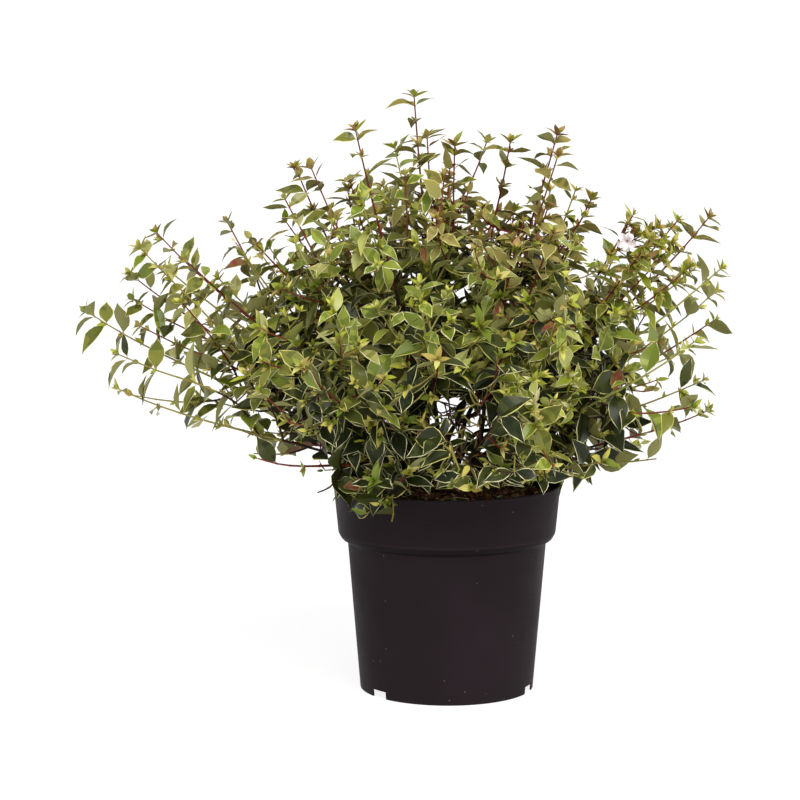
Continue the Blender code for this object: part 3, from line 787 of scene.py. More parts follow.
def limb_plan():
    """For each mass: its stem, where its limb leaves the stem's line, its heading, and its stub's end."""
    plan = {}
    for stem in STEMS:
        foot, tip, _ = stem_curve(stem)
        roots = limb_roots(stem)
        for name, (origin, heading) in roots.items():
            plan[name] = (stem, origin, heading, stub_end(name, roots, foot, tip))
    return plan


def bough_points(name, plan):
    """The bough of a mass, from its stub's end to where it enters the leaves, and its last heading."""
    _, azimuth, elevation, _, start = MASSES[name]
    _, _, heading, end = plan[name]
    first = end + heading * CLEARANCE
    outward = polar(azimuth, elevation)
    last = HEART + outward * start
    last_heading = (outward * 3 + heading).normalized()
    third = (last - first).length / 3
    points = curve_points(first, first + heading * third, last - last_heading * third, last, BOUGH_STEPS)
    return points, last_heading


class Space:
    """The air that one mass keeps to: its own cone of directions from the heart, off the limbs and pot."""

    def __init__(self, name, directions, limbs):
        own = directions[name]
        self.walls = [(own - other).normalized() for key, other in directions.items() if key != name]
        self.limbs = limbs

    def holds(self, point, margin=SPACE_MARGIN):
        from_heart = point - HEART
        if any(from_heart.dot(wall) < margin for wall in self.walls):
            return False
        return over_ground(point)

    def clear_of_limbs(self, point, own_radius):
        return all(
            segment_distance(point, start, end) > radius + own_radius + LIMB_MARGIN
            for start, end, radius in self.limbs
        )

    def takes_line(self, points, radius):
        """True if a line of points with a radius round it fits, sampled between the points too."""
        for first, last in zip(points, points[1:]):
            for share in (0, 0.25, 0.5, 0.75, 1):
                place = first.lerp(last, share)
                if not (self.holds(place, SPACE_MARGIN + radius) and self.clear_of_limbs(place, radius)):
                    return False
        return True


def over_front(point, main):
    """True if a leaf may be here: over the crown's sides, and not hiding the compost from the front."""
    side, slope = (LEFT_UNDERSIDES if point.x < 0 else RIGHT_UNDERSIDES)[0 if main else 1]
    if point.z < side + (abs(point.x) - RIM_RADIUS) * slope and abs(point.x) > RIM_RADIUS:
        return False
    azimuth = math.degrees(math.atan2(point.y, point.x))
    if not FRONT_CLEAR[0] < azimuth < FRONT_CLEAR[1]:
        return True
    return point.z > FRONT_CLEAR_Z or math.hypot(point.x, point.y) < 0.04


def over_ground(point):
    """True where the bush may have leaves: over its underside, and off the pot and its rim."""
    flat = math.hypot(point.x, point.y)
    if point.z < UNDERSIDE_Z + max(flat - UNDERSIDE_RADIUS, 0) * UNDERSIDE_SLOPE:
        return False
    return flat > RIM_RADIUS + RIM_MARGIN or point.z > POT_HEIGHT + RIM_MARGIN


def leader_points(name, plan):
    """The mass's own stem, from its limb to its tip."""
    low = name in SKIRTS
    _, azimuth, elevation, reach, _ = ROWS[name]
    outward = polar(azimuth, elevation)
    tip = HEART + outward * reach
    if low:
        _, _, heading, end = plan[name]
        first = end + heading * CLEARANCE
    else:
        points, heading = bough_points(name, plan)
        first = points[-1] + heading * CLEARANCE
    tip_heading = (outward + UP * TIP_RISE).normalized()
    third = (tip - first).length / 3
    return curve_points(first, first + heading * third, tip - tip_heading * third, tip, LEADER_STEPS)


def stray_heading(axis, draw):
    """A direction near the axis."""
    stray = Vector((draw.gauss(0, 1), draw.gauss(0, 1), draw.gauss(0, 1)))
    return (axis + stray * TWIG_SPREAD).normalized()


def twig_ends(name, leader, space, draw):
    """Points spread evenly through the mass's space: each is the roomiest of several drawn at random."""
    _, azimuth, elevation, reach, start = ROWS[name]
    axis = polar(azimuth, elevation)
    low = start / reach
    ends = []
    if name == BLOSSOM_MASS:
        ends.append(HEART + polar(*BLOSSOM_PLACE[:2]) * BLOSSOM_PLACE[2])
    while len(ends) < TWIGS:
        best, most_room = None, TWIG_SHORTEST
        for _ in range(TWIG_TRIES):
            heading = stray_heading(axis, draw)
            distance = reach * (low + (1 - low) * draw.random() ** TWIG_OUTNESS) * TWIG_REACH
            end = HEART + heading * distance
            if not space.holds(end, TWIG_END_MARGIN):
                continue
            room = min([line_distance(end, leader) * OFF_LEADER] + [(end - other).length for other in ends])
            if room > most_room:
                best, most_room = end, room
        if not best:
            break
        ends.append(best)
    return ends


def side_curve(root, heading, end):
    """The curve of a side shoot: it leaves its parent at a slant and turns out and up to its end."""
    aside = end - root
    sideways = (aside - heading * aside.dot(heading)).normalized()
    start = (heading * SIDE_ONWARD + sideways).normalized()
    last = (aside.normalized() + (end - HEART).normalized() + UP * SIDE_RISE).normalized()
    third = aside.length / 3
    return curve_points(root, root + start * third, end - last * third, end, 4)


def leader_place(leader, wanted):
    """The point of the leader nearest to a wanted distance from the heart, and the heading there."""
    shares = [step / 20 for step in range(1, 19)]
    share = min(shares, key=lambda s: abs((along(leader, s)[0] - HEART).length - wanted))
    return along(leader, share)


def first_twigs(name, leader, space, draw):
    """The twigs of a mass: each leaves the leader well short of its end and curves out to it."""
    twigs = []
    for end in twig_ends(name, leader, space, draw):
        place = leader_place(leader, (end - HEART).length * TWIG_LEAVES_AT)
        points = side_curve(*place, end)
        apart = min([line_distance(point, twig) for point in points[1:] for twig in twigs] or [1])
        if apart > TWIG_ROOM and space.takes_line(points[1:], TWIG_RADIUS):
            twigs.append(points)
    return twigs


# Finer shoots


def fine_end(name, lines, space, draw, taken):
    """The roomiest of several points in the mass's space, off its lines and off the ends that it has."""
    _, azimuth, elevation, reach, start = ROWS[name]
    fullness, farthest = FULLNESS.get(name, EVEN)
    axis = polar(azimuth, elevation)
    low = start / reach
    best, most_room = None, FINE_SHORTEST
    for _ in range(FINE_TRIES):
        heading = stray_heading(axis, draw)
        outness = draw.random() ** FINE_OUTNESS
        end = HEART + heading * reach * (low + (1 - low) * outness) * farthest
        if not (space.holds(end, FINE_END_MARGIN) and over_front(end, False)):
            continue
        off_lines = min(line_distance(end, line) for line in lines)
        room = min([off_lines * OFF_LINES] + [(end - other).length for other in taken])
        room -= (FINE_OUTER / fullness - FINE_SHORTEST) * max(outness * 2 - 1, 0)
        if room > most_room:
            best, most_room = end, room
    return best


def fine_root(end, lines):
    """The place on the lines that a side shoot to the end leaves from: near, and at a fair slant."""
    best, least = None, math.inf
    for line in lines:
        for step in range(2, 18):
            root, heading = along(line, step / 20)
            aside = end - root
            slant = heading.angle(aside)
            if not LEAST_SLANT < slant < MOST_SLANT:
                continue
            cost = aside.length * (1 + abs(slant - BEST_SLANT))
            if cost < least:
                best, least = (root, heading), cost
    return best


def fine_shoots(name, lines, space, draw):
    """Side shoots of the leader and the twigs, and of each other."""
    found = []
    taken = [line[-1] for line in lines]
    fullness, _ = FULLNESS.get(name, EVEN)
    for _ in range(round(FINE_SHOOTS * fullness)):
        parents = lines + found
        end = fine_end(name, parents, space, draw, taken)
        if not end:
            continue
        place = fine_root(end, parents)
        if not place or (end - place[0]).length > FINE_LONGEST:
            continue
        points = side_curve(*place, end)
        if all(over_ground(point) for point in points):
            found.append(points)
            taken.append(end)
    return found


def outer_shoots(rows, leader):
    """The long shoots that stand out of the crown, from the leader to their tips."""
    found = []
    for azimuth, elevation, distance in rows:
        place = leader_place(leader, distance * OUTER_ROOT)
        found.append(side_curve(*place, HEART + polar(azimuth, elevation) * distance))
    return found


def hides_blossom(point):
    """True near the open flower and in front of it."""
    aside = point - BLOSSOM_CENTRE
    return aside.y < BLOSSOM_ROOM and math.hypot(aside.x, aside.z + aside.y * 0.12) < BLOSSOM_ROOM


def share_kept(point):
    """The share of the leaves at a point that stay: less than one in the sparse places."""
    for x, z, half_width, half_height, kept in SPARSE:
        across = (point.x - x) / half_width
        up = (point.z - z + point.y * SIGHT_FALL) / half_height
        if across * across + up * up < 1:
            return kept
    return 1


# Meshes from arrays


def new_object(name, data, material=None):
    """An object in the scene, with its one material if it has one."""
    if material:
        data.materials.append(material)
    made = bpy.data.objects.new(name, data)
    bpy.context.scene.collection.objects.link(made)
    return made


def bmesh_object(name, bm, material=None):
    """An object from a bmesh, which is used up."""
    mesh = bpy.data.meshes.new(name)
    bm.to_mesh(mesh)
    bm.free()
    return new_object(name, mesh, material)


def mesh_piece(name, corners, triangles, slots, materials, sharp_angle=50):
    """An object from arrays of corners, triangles and material numbers. No slots means one material."""
    mesh = bpy.data.meshes.new(name)
    corners = np.asarray(corners, np.float32)
    triangles = np.asarray(triangles, np.int32)
    mesh.vertices.add(len(corners))
    mesh.vertices.foreach_set("co", corners.ravel())
    mesh.loops.add(triangles.size)
    mesh.loops.foreach_set("vertex_index", triangles.ravel())
    mesh.polygons.add(len(triangles))
    mesh.polygons.foreach_set("loop_start", np.arange(0, triangles.size, 3, dtype=np.int32))
    for material in materials:
        mesh.materials.append(material)
    if slots is not None:
        mesh.polygons.foreach_set("material_index", np.asarray(slots, np.int32))
    mesh.update(calc_edges=True)
    mesh.validate()
    mesh.shade_smooth()
    mesh.set_sharp_from_angle(angle=math.radians(sharp_angle))
    return new_object(name, mesh)


def placed(piece, slot, *nodes):
    """The piece moves with the plant's one body, and stands for the nodes."""
    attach(piece, BODY)
    if nodes:
        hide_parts(*nodes)


def carried_rings(points):
    """For each point of a line, two directions square to it, carried along without twist."""
    sides = []
    side = None
    for place in range(len(points)):
        heading = (points[min(place + 1, len(points) - 1)] - points[max(place - 1, 0)]).normalized()
        side = heading.orthogonal().normalized() if side is None else side
        side = (side - heading * side.dot(heading)).normalized()
        sides.append((side, heading.cross(side)))
    return sides


def circle(sides):
    """Angles round a full turn."""
    return [math.tau * count / sides for count in range(sides)]


def wall_triangles(start, rings, sides):
    """Triangles between rings of corners that follow each other. Corner numbers begin at start."""
    found = []
    for ring in range(rings - 1):
        low = start + ring * sides
        for count in range(sides):
            a, b = low + count, low + (count + 1) % sides
            found += [(a, b, b + sides), (a, b + sides, a + sides)]
    return found


def end_triangles(start, rings, sides):
    """Triangles that close the first and the last ring, by turns."""
    last = start + (rings - 1) * sides
    found = []
    for count in range(1, sides - 1):
        found += [(start, start + count + 1, start + count), (last, last + count, last + count + 1)]
    return found


def tube_arrays(points, radii, sides, ring_slots, start):
    """Corners, triangles and slots of a tube with closed ends. Corner numbers begin at start."""
    corners = [
        centre + (side * math.cos(angle) + other * math.sin(angle)) * radius
        for centre, radius, (side, other) in zip(points, radii, carried_rings(points))
        for angle in circle(sides)
    ]
    rings = len(points)
    triangles = wall_triangles(start, rings, sides) + end_triangles(start, rings, sides)
    slots = np.repeat(ring_slots[: rings - 1], 2 * sides)
    return corners, triangles, np.append(slots, [ring_slots[0], ring_slots[rings - 2]] * (sides - 2))


# Leaves


def blade_template(outline, with_margin):
    """Triangles of one leaf and what each is: 0 the blade, 1 the margin, 2 the underside, 3 the stalk."""
    across = 5 if with_margin else 3
    ring = across + 1
    count = len(outline)
    tip = ring * count
    triangles, parts = [], []

    def quad(a, b, c, d, part):
        triangles.extend([(a, b, c), (a, c, d)])
        parts.extend([part, part])

    for row in range(count - 1):
        here, after = row * ring, (row + 1) * ring
        stalk = row == 0 and with_margin
        for column in range(across - 1):
            edge = with_margin and column in (0, across - 2)
            part = 3 if stalk else 1 if edge else 0
            quad(here + column, after + column, after + column + 1, here + column + 1, part)
        low = 3 if stalk else 2
        quad(here, here + across, after + across, after, low)
        quad(here + across, here + across - 1, after + across - 1, after + across, low)
    last = (count - 1) * ring
    for column in range(across - 1):
        edge = with_margin and column in (0, across - 2)
        triangles.append((last + column, tip, last + column + 1))
        parts.append(1 if edge else 0)
    triangles += [(last, last + across, tip), (last + across, last + across - 1, tip)]
    parts += [2, 2]
    for column in range(1, across):
        triangles.append((0, column, column + 1))
        parts.append(3 if with_margin else 2)
    return np.array(triangles), np.array(parts)


def blade_corners(leaves, outline, with_margin):
    """Corners of many leaves at once, as an array of leaves by corners by 3."""
    count = len(leaves["length"])
    length, width = leaves["length"][:, None], leaves["width"][:, None]
    share = np.array([row[0] for row in outline])[None]
    half = width * np.array([row[1] for row in outline])[None]
    if with_margin:
        half = half * (1 + leaves["teeth"] * (np.arange(len(outline)) % 2 * 2 - 1) * (share > 0.2))
    middle_x = length * (share - leaves["bend"][:, None] ** 2 * share**3 / 6)
    middle_y = length * leaves["sweep"][:, None] * share**2 / 2
    middle_z = -length * leaves["bend"][:, None] * share**2 / 2
    stalk = (share < 0.1) & with_margin
    phase = leaves["phase"][:, None]
    margin = leaves["margin"][:, None]
    left, right = (
        np.maximum(half - margin * (1 + 0.7 * np.sin(share * 19 + phase * turns)), half * 0.40)
        for turns in (3, 5)
    )
    columns = (-half, -left, 0 * half, right, half) if with_margin else (-half, 0 * half, half)
    rows = []
    for y in columns:
        wave = leaves["wave"][:, None] * np.sin(share * 9 + phase + (y > 0) * 1.9)
        rolled = np.where(np.abs(y) >= half, 0.82, 1.0)
        lift = np.abs(y) * (leaves["fold"][:, None] * rolled + wave) + y * leaves["twist"][:, None] * share
        lift = np.where(stalk, -0.5 * np.abs(y), lift)
        rows.append((middle_x, middle_y + y, middle_z + lift))
    thick = np.where(stalk, half * 0.9, 0.00012 + 0.00025 * (1 - share))
    rows.append((middle_x, middle_y, middle_z - thick))
    local = np.stack([np.stack(row, -1) for row in rows], 2).reshape(count, -1, 3)
    along_blade = (1 - leaves["bend"] ** 2 / 6, leaves["sweep"] / 2, -leaves["bend"] / 2)
    tip = np.stack([leaves["length"] * share for share in along_blade], -1)[:, None]
    local = np.concatenate([local, tip], 1)
    heading, normal = leaves["heading"], leaves["normal"]
    across = np.cross(normal, heading)
    across /= np.linalg.norm(across, axis=1, keepdims=True)
    face = np.cross(heading, across)
    axes = np.stack([heading, across, face], 1)
    return leaves["root"][:, None] + local @ axes


class Leaves:
    """Leaves of one kind, gathered as rows and then built as one mesh."""

    FORM = ("width", "fold", "bend", "sweep", "twist", "margin", "wave", "phase", "teeth")

    def __init__(self, outline, with_margin):
        self.outline = outline
        self.with_margin = with_margin
        self.rows = []

    def add(self, root, heading, normal, length, width_scale, form, draw, tints):
        """One more leaf, its form drawn from the spans. A part that has no span is 0."""
        row = {key: draw.uniform(*form[key]) if key in form else 0 for key in self.FORM}
        row["width"] *= width_scale
        row.update(root=tuple(root), heading=tuple(heading), normal=tuple(normal), length=length, tints=tints)
        self.rows.append(row)

    def arrays(self, start, slot_numbers):
        """Corners, triangles and slots of all the leaves. Some triangles of a blade have the patch colour."""
        if not self.rows:
            return np.zeros((0, 3)), np.zeros((0, 3), int), np.zeros(0, int)
        keys = (*self.FORM, "root", "heading", "normal", "length")
        numbers = {key: np.array([row[key] for row in self.rows], float) for key in keys}
        numbers["teeth"] = numbers["teeth"][:, None]
        corners = blade_corners(numbers, self.outline, self.with_margin)
        triangles, parts = blade_template(self.outline, self.with_margin)
        offsets = start + np.arange(len(self.rows))[:, None, None] * corners.shape[1]
        kinds = np.array([[slot_numbers[tint] for tint in row["tints"]] for row in self.rows])
        pairs = np.arange(len(parts)) // 2
        dice = np.random.RandomState(len(self.rows)).random_sample((len(self.rows), pairs[-1] + 1))[:, pairs]
        patched = np.where((parts == 0)[None] & (dice < PATCH_SHARE), 4, parts[None])
        slots = np.take_along_axis(kinds, patched, 1)
        return corners.reshape(-1, 3), (triangles[None] + offsets).reshape(-1, 3), slots.ravel()


def side_of(heading, turn):
    """A direction square to a shoot, turned by an angle from level."""
    level = heading.cross(UP)
    if level.length < 0.2:
        level = heading.cross(Vector((0, 1, 0)))
    level.normalize()
    return Matrix.Rotation(turn, 3, heading) @ level


def leaf_normal(point, draw):
    """Blades face the light: up and away from the heart, each a little its own way."""
    outward = (point - HEART).normalized()
    stray = Vector((draw.uniform(-1, 1), draw.uniform(-1, 1), draw.uniform(-1, 1)))
    return (UP * FACE_UP + outward * FACE_OUTWARD + stray * FACE_STRAY).normalized()


def spray_look(tip, draw):
    """The look of a shoot and its leaves, dealt out by where its tip is."""
    for look, centre, radius in PLACES:
        if (tip - centre).length < radius:
            return look
    central = abs(tip.x) < LOW_HALF_WIDTH
    if tip.z < SHADE_Z and central:
        return draw.choice(SHARES["shaded"])
    if (tip - FRESH_PLACE).length < FRESH_RADIUS and draw.random() < FRESH_SHARE:
        return "fresh"
    if tip.z < MIDDLE_Z and central:
        return draw.choice(SHARES["half shaded"])
    if tip.z > BRONZE_Z and draw.random() < BRONZE_SHARE:
        return "bronze"
    return draw.choice(SHARES["left" if tip.x < LEFT_X else "other"])


class Growth:
    """The shoots and leaves of one mass, with draws of their own for places, for tufts and for colours."""

    def __init__(self, name, seed, number):
        self.draw = random.Random(seed)
        self.buds = random.Random(TUFT_SEED + number)
        self.paint = random.Random(PAINT_SEED + number)
        self.reach = ROWS[name][3]
        self.taken = set()
        self.blades = Leaves(BLADE, True)
        self.young = Leaves(YOUNG_BLADE, False)
        self.tubes = []
        self.main = True

    def crowded(self, point):
        """True if another leaf's middle is too near. If not, the place is marked as taken."""
        cell = tuple(int(round(value / LEAF_ROOM)) for value in point)
        if cell in self.taken:
            return True
        self.taken.add(cell)
        return False

    def kept_open(self, middle, tip):
        """True if a leaf here would hide the flower, or is one too many in a sparse place."""
        if hides_blossom(middle) or hides_blossom(tip):
            return True
        return self.paint.random() > min(share_kept(middle), share_kept(tip))

    def tints(self, look, root):
        """The blade, margin, underside, stalk and patch colours of a leaf: inner ones are darker."""
        if self.paint.random() < DEAD_SHARE:
            return "dead", "tan", "dead", "brown", "rust"
        depth = (root - HEART).length / self.reach + self.paint.uniform(-INNER_STRAY, INNER_STRAY)
        if depth < (INNER_LOW if root.z < LOW_Z else INNER_OTHER) and look not in TUFTED:
            central = abs(root.x) < LOW_HALF_WIDTH and root.z < DEEP_Z
            look = "olive" if not central else "deep" if root.z < SHADE_Z else "shade"
        kinds = LOOKS[look]
        pick = self.paint.choice
        blade = pick(kinds["blade"])
        return blade, pick(kinds["margin"]), pick(kinds["under"]), "tan", PATCHES.get(blade, blade)

    def may_have(self, *places):
        """True if a leaf may lie at all of the places."""
        return all(over_ground(place) and over_front(place, self.main) for place in places)

    def leaf(self, root, heading, aside, angle, length, look):
        """A grown leaf, turned a little further at each try until it has room."""
        draw = self.draw
        for attempt in range(LEAF_TRIES):
            spread = math.radians(angle + draw.uniform(-ANGLE_STRAY, ANGLE_STRAY) * (1 + attempt))
            direction = heading * math.cos(spread) + aside * math.sin(spread)
            direction = (direction - UP * draw.uniform(*LEAF_DROOP)).normalized()
            tip = root + direction * length
            middle = root + direction * length * 0.5
            if not self.may_have(middle, tip) or self.crowded(middle):
                continue
            short, slim = (TUFTED_SHORT, TUFTED_SLIM) if look in TUFTED else (1, 1)
            normal = leaf_normal(root, draw)
            tints = self.tints(look, root)
            self.blades.add(root, direction, normal, length * short, length * slim, GROWN_FORM, draw, tints)
            # Its draws are made first, so that a sparse place changes no other leaf
            if self.kept_open(middle, tip):
                self.blades.rows.pop()
            return

    def young_leaf(self, root, heading, aside, angle, length, look):
        draw = self.buds
        spread = math.radians(angle + draw.uniform(-YOUNG_STRAY, YOUNG_STRAY))
        direction = (heading * math.cos(spread) + aside * math.sin(spread)).normalized()
        tip = root + direction * length
        if not self.may_have(tip) or self.kept_open(root, tip):
            return
        tint = self.paint.choice(LOOKS[look]["young"])
        under = self.paint.choice(LOOKS[look]["young"])
        normal = (heading - aside * 0.8 + UP * 0.3).normalized()
        width = length * (TUFTED_YOUNG_SLIM if look in TUFTED else 1)
        tints = (tint, tint, under, tint, tint)
        self.young.add(root, direction, normal, length, width, YOUNG_FORM, draw, tints)

    def tuft(self, root, heading, look, size, pairs):
        """Young leaves round a bud, the outer ones longer and wider apart."""
        turn = self.buds.uniform(0, math.pi)
        for rank in range(pairs):
            angle = TUFT_ANGLE + TUFT_OPENING * (pairs - 1 - rank)
            length = size * (1 - TUFT_SHRINK * rank)
            for side in (0, math.pi):
                aside = side_of(heading, turn + side + rank * math.pi / 2)
                start = root + heading * TUFT_STEP * rank
                self.young_leaf(start, heading, aside, angle, length * self.buds.uniform(0.8, 1.2), look)

    def tip_tuft(self, line, main, look, size):
        """The tuft at the end of a shoot."""
        pairs, *span = MAIN_TIP if main else FINE_TIP
        tip, heading = along(line, 1)
        self.tuft(tip - heading * 0.001, heading, look, self.buds.uniform(*span) * size, pairs)

    def corner_tuft(self, root, heading, aside, radius, look):
        """Now and then a small tuft between a leaf and its shoot."""
        if self.buds.random() < TUFT_SHARES.get(look, TUFT_SHARE):
            pairs, *span = TUFTED_CORNER if look in TUFTED else OTHER_CORNER
            bud = (heading + aside * 0.7).normalized()
            self.tuft(root + aside * radius * 0.5, bud, look, self.buds.uniform(*span), pairs)

    def leaf_length(self, root, distance, size):
        """The length of a leaf by its distance from the shoot's tip: low and inner ones are longer."""
        grown = min(YOUNGEST_SHARE + distance / GROWN_AFTER * (1 - YOUNGEST_SHARE), 1) * size
        length = LEAF_LENGTH * grown * self.draw.uniform(*LEAF_VARIETY)
        length *= LOW_LEAF_GAIN if root.z < LOW_Z else 1
        return length * (INNER_LEAF_GAIN if (root - HEART).length < self.reach * INNER_SHARE else 1)

    def leaf_pairs(self, line, length, radius, leafy, look, size):
        """The pairs of leaves over the leafy length of a shoot, and where they are as shares of its line."""
        draw = self.draw
        nodes = []
        distance, step = INTERNODE_TIP, INTERNODE_TIP * 1.5
        longest = INTERNODE_MAIN if radius > FINE_RADIUS else INTERNODE_LONGEST
        turn = draw.uniform(0, math.pi)
        while distance < leafy:
            nodes.append(1 - distance / length)
            root, heading = along(line, nodes[-1])
            turn += math.pi / 2 + draw.uniform(-0.25, 0.25)
            for side in (0, math.pi):
                if draw.random() < MISSING_SHARE + MISSING_OLD * (distance / length):
                    continue
                aside = side_of(heading, turn + side)
                span = self.leaf_length(root, distance, size)
                angle = LEAF_ANGLE + OLD_ANGLE * min(distance / OLD_AFTER, 1)
                self.leaf(root, heading, aside, angle, span, look)
                self.corner_tuft(root, heading, aside, radius, look)
            distance += step * draw.uniform(0.85, 1.15)
            step = min(step * INTERNODE_GROWTH, longest)
        return nodes

    def shoot(self, points, first_radius, bare=0.0, has_tuft=True, size=1.0):
        """A shoot with its pairs of leaves, from the tip back, each pair square to the last."""
        line = rounded_line(points)
        length = line_length(line)
        look = spray_look(points[-1], self.paint)
        if has_tuft:
            self.tip_tuft(line, first_radius > FINE_RADIUS, look, size)
        leafy = length * (1 - bare) - BARE_TIP
        nodes = self.leaf_pairs(line, length, first_radius, leafy, look, size)
        while len(line) > SHORTEST_LINE and share_kept(line[-1]) == 0:
            line.pop()
        left = line_length(line)
        nodes = [share * length / left for share in nodes if share * length < left]
        self.tubes.append((line, left, first_radius, nodes, look))


def tube_line(line, length, first_radius, nodes):
    """Rings of a shoot: thick at its foot, thin at its tip and a little swollen at each node."""
    places = {0.0: 1.0, 1.0: 1.0}
    for node in nodes:
        gap = NODE_HALF / length
        for share, swelling in ((node - gap, 1.0), (node, NODE_SWELLING), (node + gap, 1.0)):
            if 0 < share < 1:
                places[round(share, 4)] = swelling
    ordered = sorted(places)
    filled = []
    for low, high in zip(ordered, ordered[1:]):
        pieces = max(1, round((high - low) * length / SHOOT_RING_SPACING))
        filled += [low + (high - low) * step / pieces for step in range(pieces)]
    filled.append(1.0)
    points = [along(line, share)[0] for share in filled]
    radii = []
    for share in filled:
        plain = first_radius + (SHOOT_TIP_RADIUS - first_radius) * share
        radii.append(plain * places.get(share, 1.0))
    return points, radii, filled


class Parts:
    """Arrays of several parts, gathered for one piece."""

    def __init__(self):
        self.parts = []
        self.count = 0

    def add(self, *arrays):
        """One more part. Its corners come first, and their numbers begin at the count so far."""
        self.parts.append(arrays)
        self.count += len(arrays[0])

    def joined(self):
        return [np.concatenate(kind) for kind in zip(*self.parts)]


def build_leaves(name, growth, numbers, palette):
    """A mass's leaves, old and young, as one piece."""
    parts = Parts()
    for kind in (growth.blades, growth.young):
        parts.add(*kind.arrays(parts.count, numbers))
    leaves = mesh_piece(f"leaves_{name}", *parts.joined(), palette, 26)
    placed(leaves, "foliage", f"foliage_{name}")


def build_shoots(name, growth, numbers, palette):
    """A mass's shoots as one piece: the main ones are woody near their foot."""
    parts = Parts()
    for line, length, radius, nodes, look in growth.tubes:
        points, radii, shares = tube_line(line, length, radius, nodes)
        young = numbers[growth.paint.choice(LOOKS[look]["shoot"])]
        woody = WOODY_SHARE if radius > FINE_RADIUS else 0
        ring_slots = [numbers["brown"] if share < woody else young for share in shares]
        parts.add(*tube_arrays(points, radii, SHOOT_SIDES, ring_slots, parts.count))
    shoots = mesh_piece(f"shoots_{name}", *parts.joined(), palette, 80)
    placed(shoots, "foliage", f"foliage_{name}")


def petal_rings(outside):
    """Rings of the flower's funnel, as arrays of radius and height over the angle round it."""
    angles = np.linspace(0, math.tau, PETAL_SIDES, endpoint=False)
    lobe = np.abs(np.cos(angles * PETALS / 2)) ** 0.55
    rings = []
    for share in np.linspace(0, 1, PETAL_RINGS):
        tube = FLOWER_FOOT_RADIUS + (FLOWER_THROAT_RADIUS - FLOWER_FOOT_RADIUS) * min(share / 0.6, 1) ** 2
        open_share = max(share - 0.6, 0) / 0.4
        radius = tube + (FLOWER_RADIUS - FLOWER_THROAT_RADIUS) * open_share * (0.30 + 0.70 * lobe)
        height = FLOWER_LENGTH * (share - 0.30 * open_share**2 * lobe) + 0 * angles
        if not outside:
            radius = radius - PETAL_THICK * (1 - open_share)
            height = height + PETAL_THICK
        rings.append((angles, radius, height))
    return rings


def petal_arrays(foot, facing, throat, petal, start):
    """Corners, triangles and slots of the flower's funnel."""
    aside = side_of(facing, 0.3)
    other = facing.cross(aside)
    rings = petal_rings(True) + petal_rings(False)[::-1]
    corners = [
        foot + (aside * math.cos(angle) + other * math.sin(angle)) * out + facing * up
        for row in rings
        for angle, out, up in zip(*row)
    ]
    triangles = wall_triangles(start, len(rings), PETAL_SIDES)
    triangles += end_triangles(start, len(rings), PETAL_SIDES)
    slots = np.repeat([throat] * 3 + [petal] * (len(rings) - 4), 2 * PETAL_SIDES)
    return corners, triangles, np.append(slots, [throat] * 2 * (PETAL_SIDES - 2))


def build_blossom(twig, materials):
    """The one open flower, which hangs from a short stalk and faces the viewer, and the sprays beside it."""
    names = dict.fromkeys(["petal", "blush", *LOOKS["bronze"]["young"], *LOOKS["sprout"]["young"]])
    numbers = {tint: place for place, tint in enumerate(names)}
    first = twig[-1]
    foot = first + Vector(FLOWER_STALK)
    facing = Vector(FLOWER_FACING).normalized()
    rise = first + UP * 0.004
    sprays = Growth(BLOSSOM_MASS, BLOSSOM_SEED, BLOSSOM_SEED)
    stalks = [(8, curve_points(first, rise, foot - facing * 0.003, foot, 6))]
    for azimuth, elevation, length, size in BLOSSOM_SPRAYS:
        heading = polar(azimuth, elevation)
        line = curve_points(first, rise, first + heading * length * 0.7, first + heading * length, 6)
        stalks.append((6, line))
        sprays.tuft(line[-1], heading, "sprout", size, 4)
        sprays.tuft(line[4], heading, "sprout", size, 2)
    parts = Parts()
    for sides, line in stalks:
        radii, ring_slots = [FLOWER_STALK_RADIUS] * len(line), [numbers["bronze_3"]] * len(line)
        parts.add(*tube_arrays(line, radii, sides, ring_slots, parts.count))
    parts.add(*petal_arrays(foot, facing, numbers["blush"], numbers["petal"], parts.count))
    sprays.tuft(foot, facing, "bronze", 0.007, 2)
    parts.add(*sprays.young.arrays(parts.count, numbers))
    piece = mesh_piece("blossom", *parts.joined(), [materials[tint] for tint in numbers], 70)
    placed(piece, "foliage", f"foliage_{BLOSSOM_MASS}")


def grow_mass(name, plan, space, number):
    """The leader and the twigs as in the solid, then the finer shoots, all with their leaves."""
    _, _, _, reach, start = ROWS[name]
    leader = leader_points(name, plan)
    twigs = first_twigs(name, leader, space, random.Random(number))
    growth = Growth(name, FIRST_SEED + number, number)
    bare, thick = start / reach * SKIRT_BARE, BOUGH_FOOT_RADIUS
    if name in MASSES:
        bare, thick = BOUGH_BARE, BOUGH_TIP_RADIUS
    growth.shoot(leader, thick, bare)
    for rank, twig in enumerate(twigs):
        flowering = name == BLOSSOM_MASS and rank == 0
        if over_front(twig[-1], True):
            growth.shoot(twig, TWIG_RADIUS, TWIG_BARE, not flowering)
    outer = outer_shoots(OUTER.get(name, ()), leader)
    for line in outer:
        growth.shoot(line, OUTER_RADIUS, TWIG_BARE)
    growth.main = False
    for line in fine_shoots(name, [leader, *twigs, *outer], space, growth.draw):
        growth.shoot(line, FINE_RADIUS, FINE_BARE, True, growth.draw.uniform(*FINE_SIZES))
    growth.main = True
    for line in outer_shoots(LATE.get(name, ()), leader):
        growth.shoot(line, OUTER_RADIUS, LATE_BARE)
    return growth, twigs


# Wood


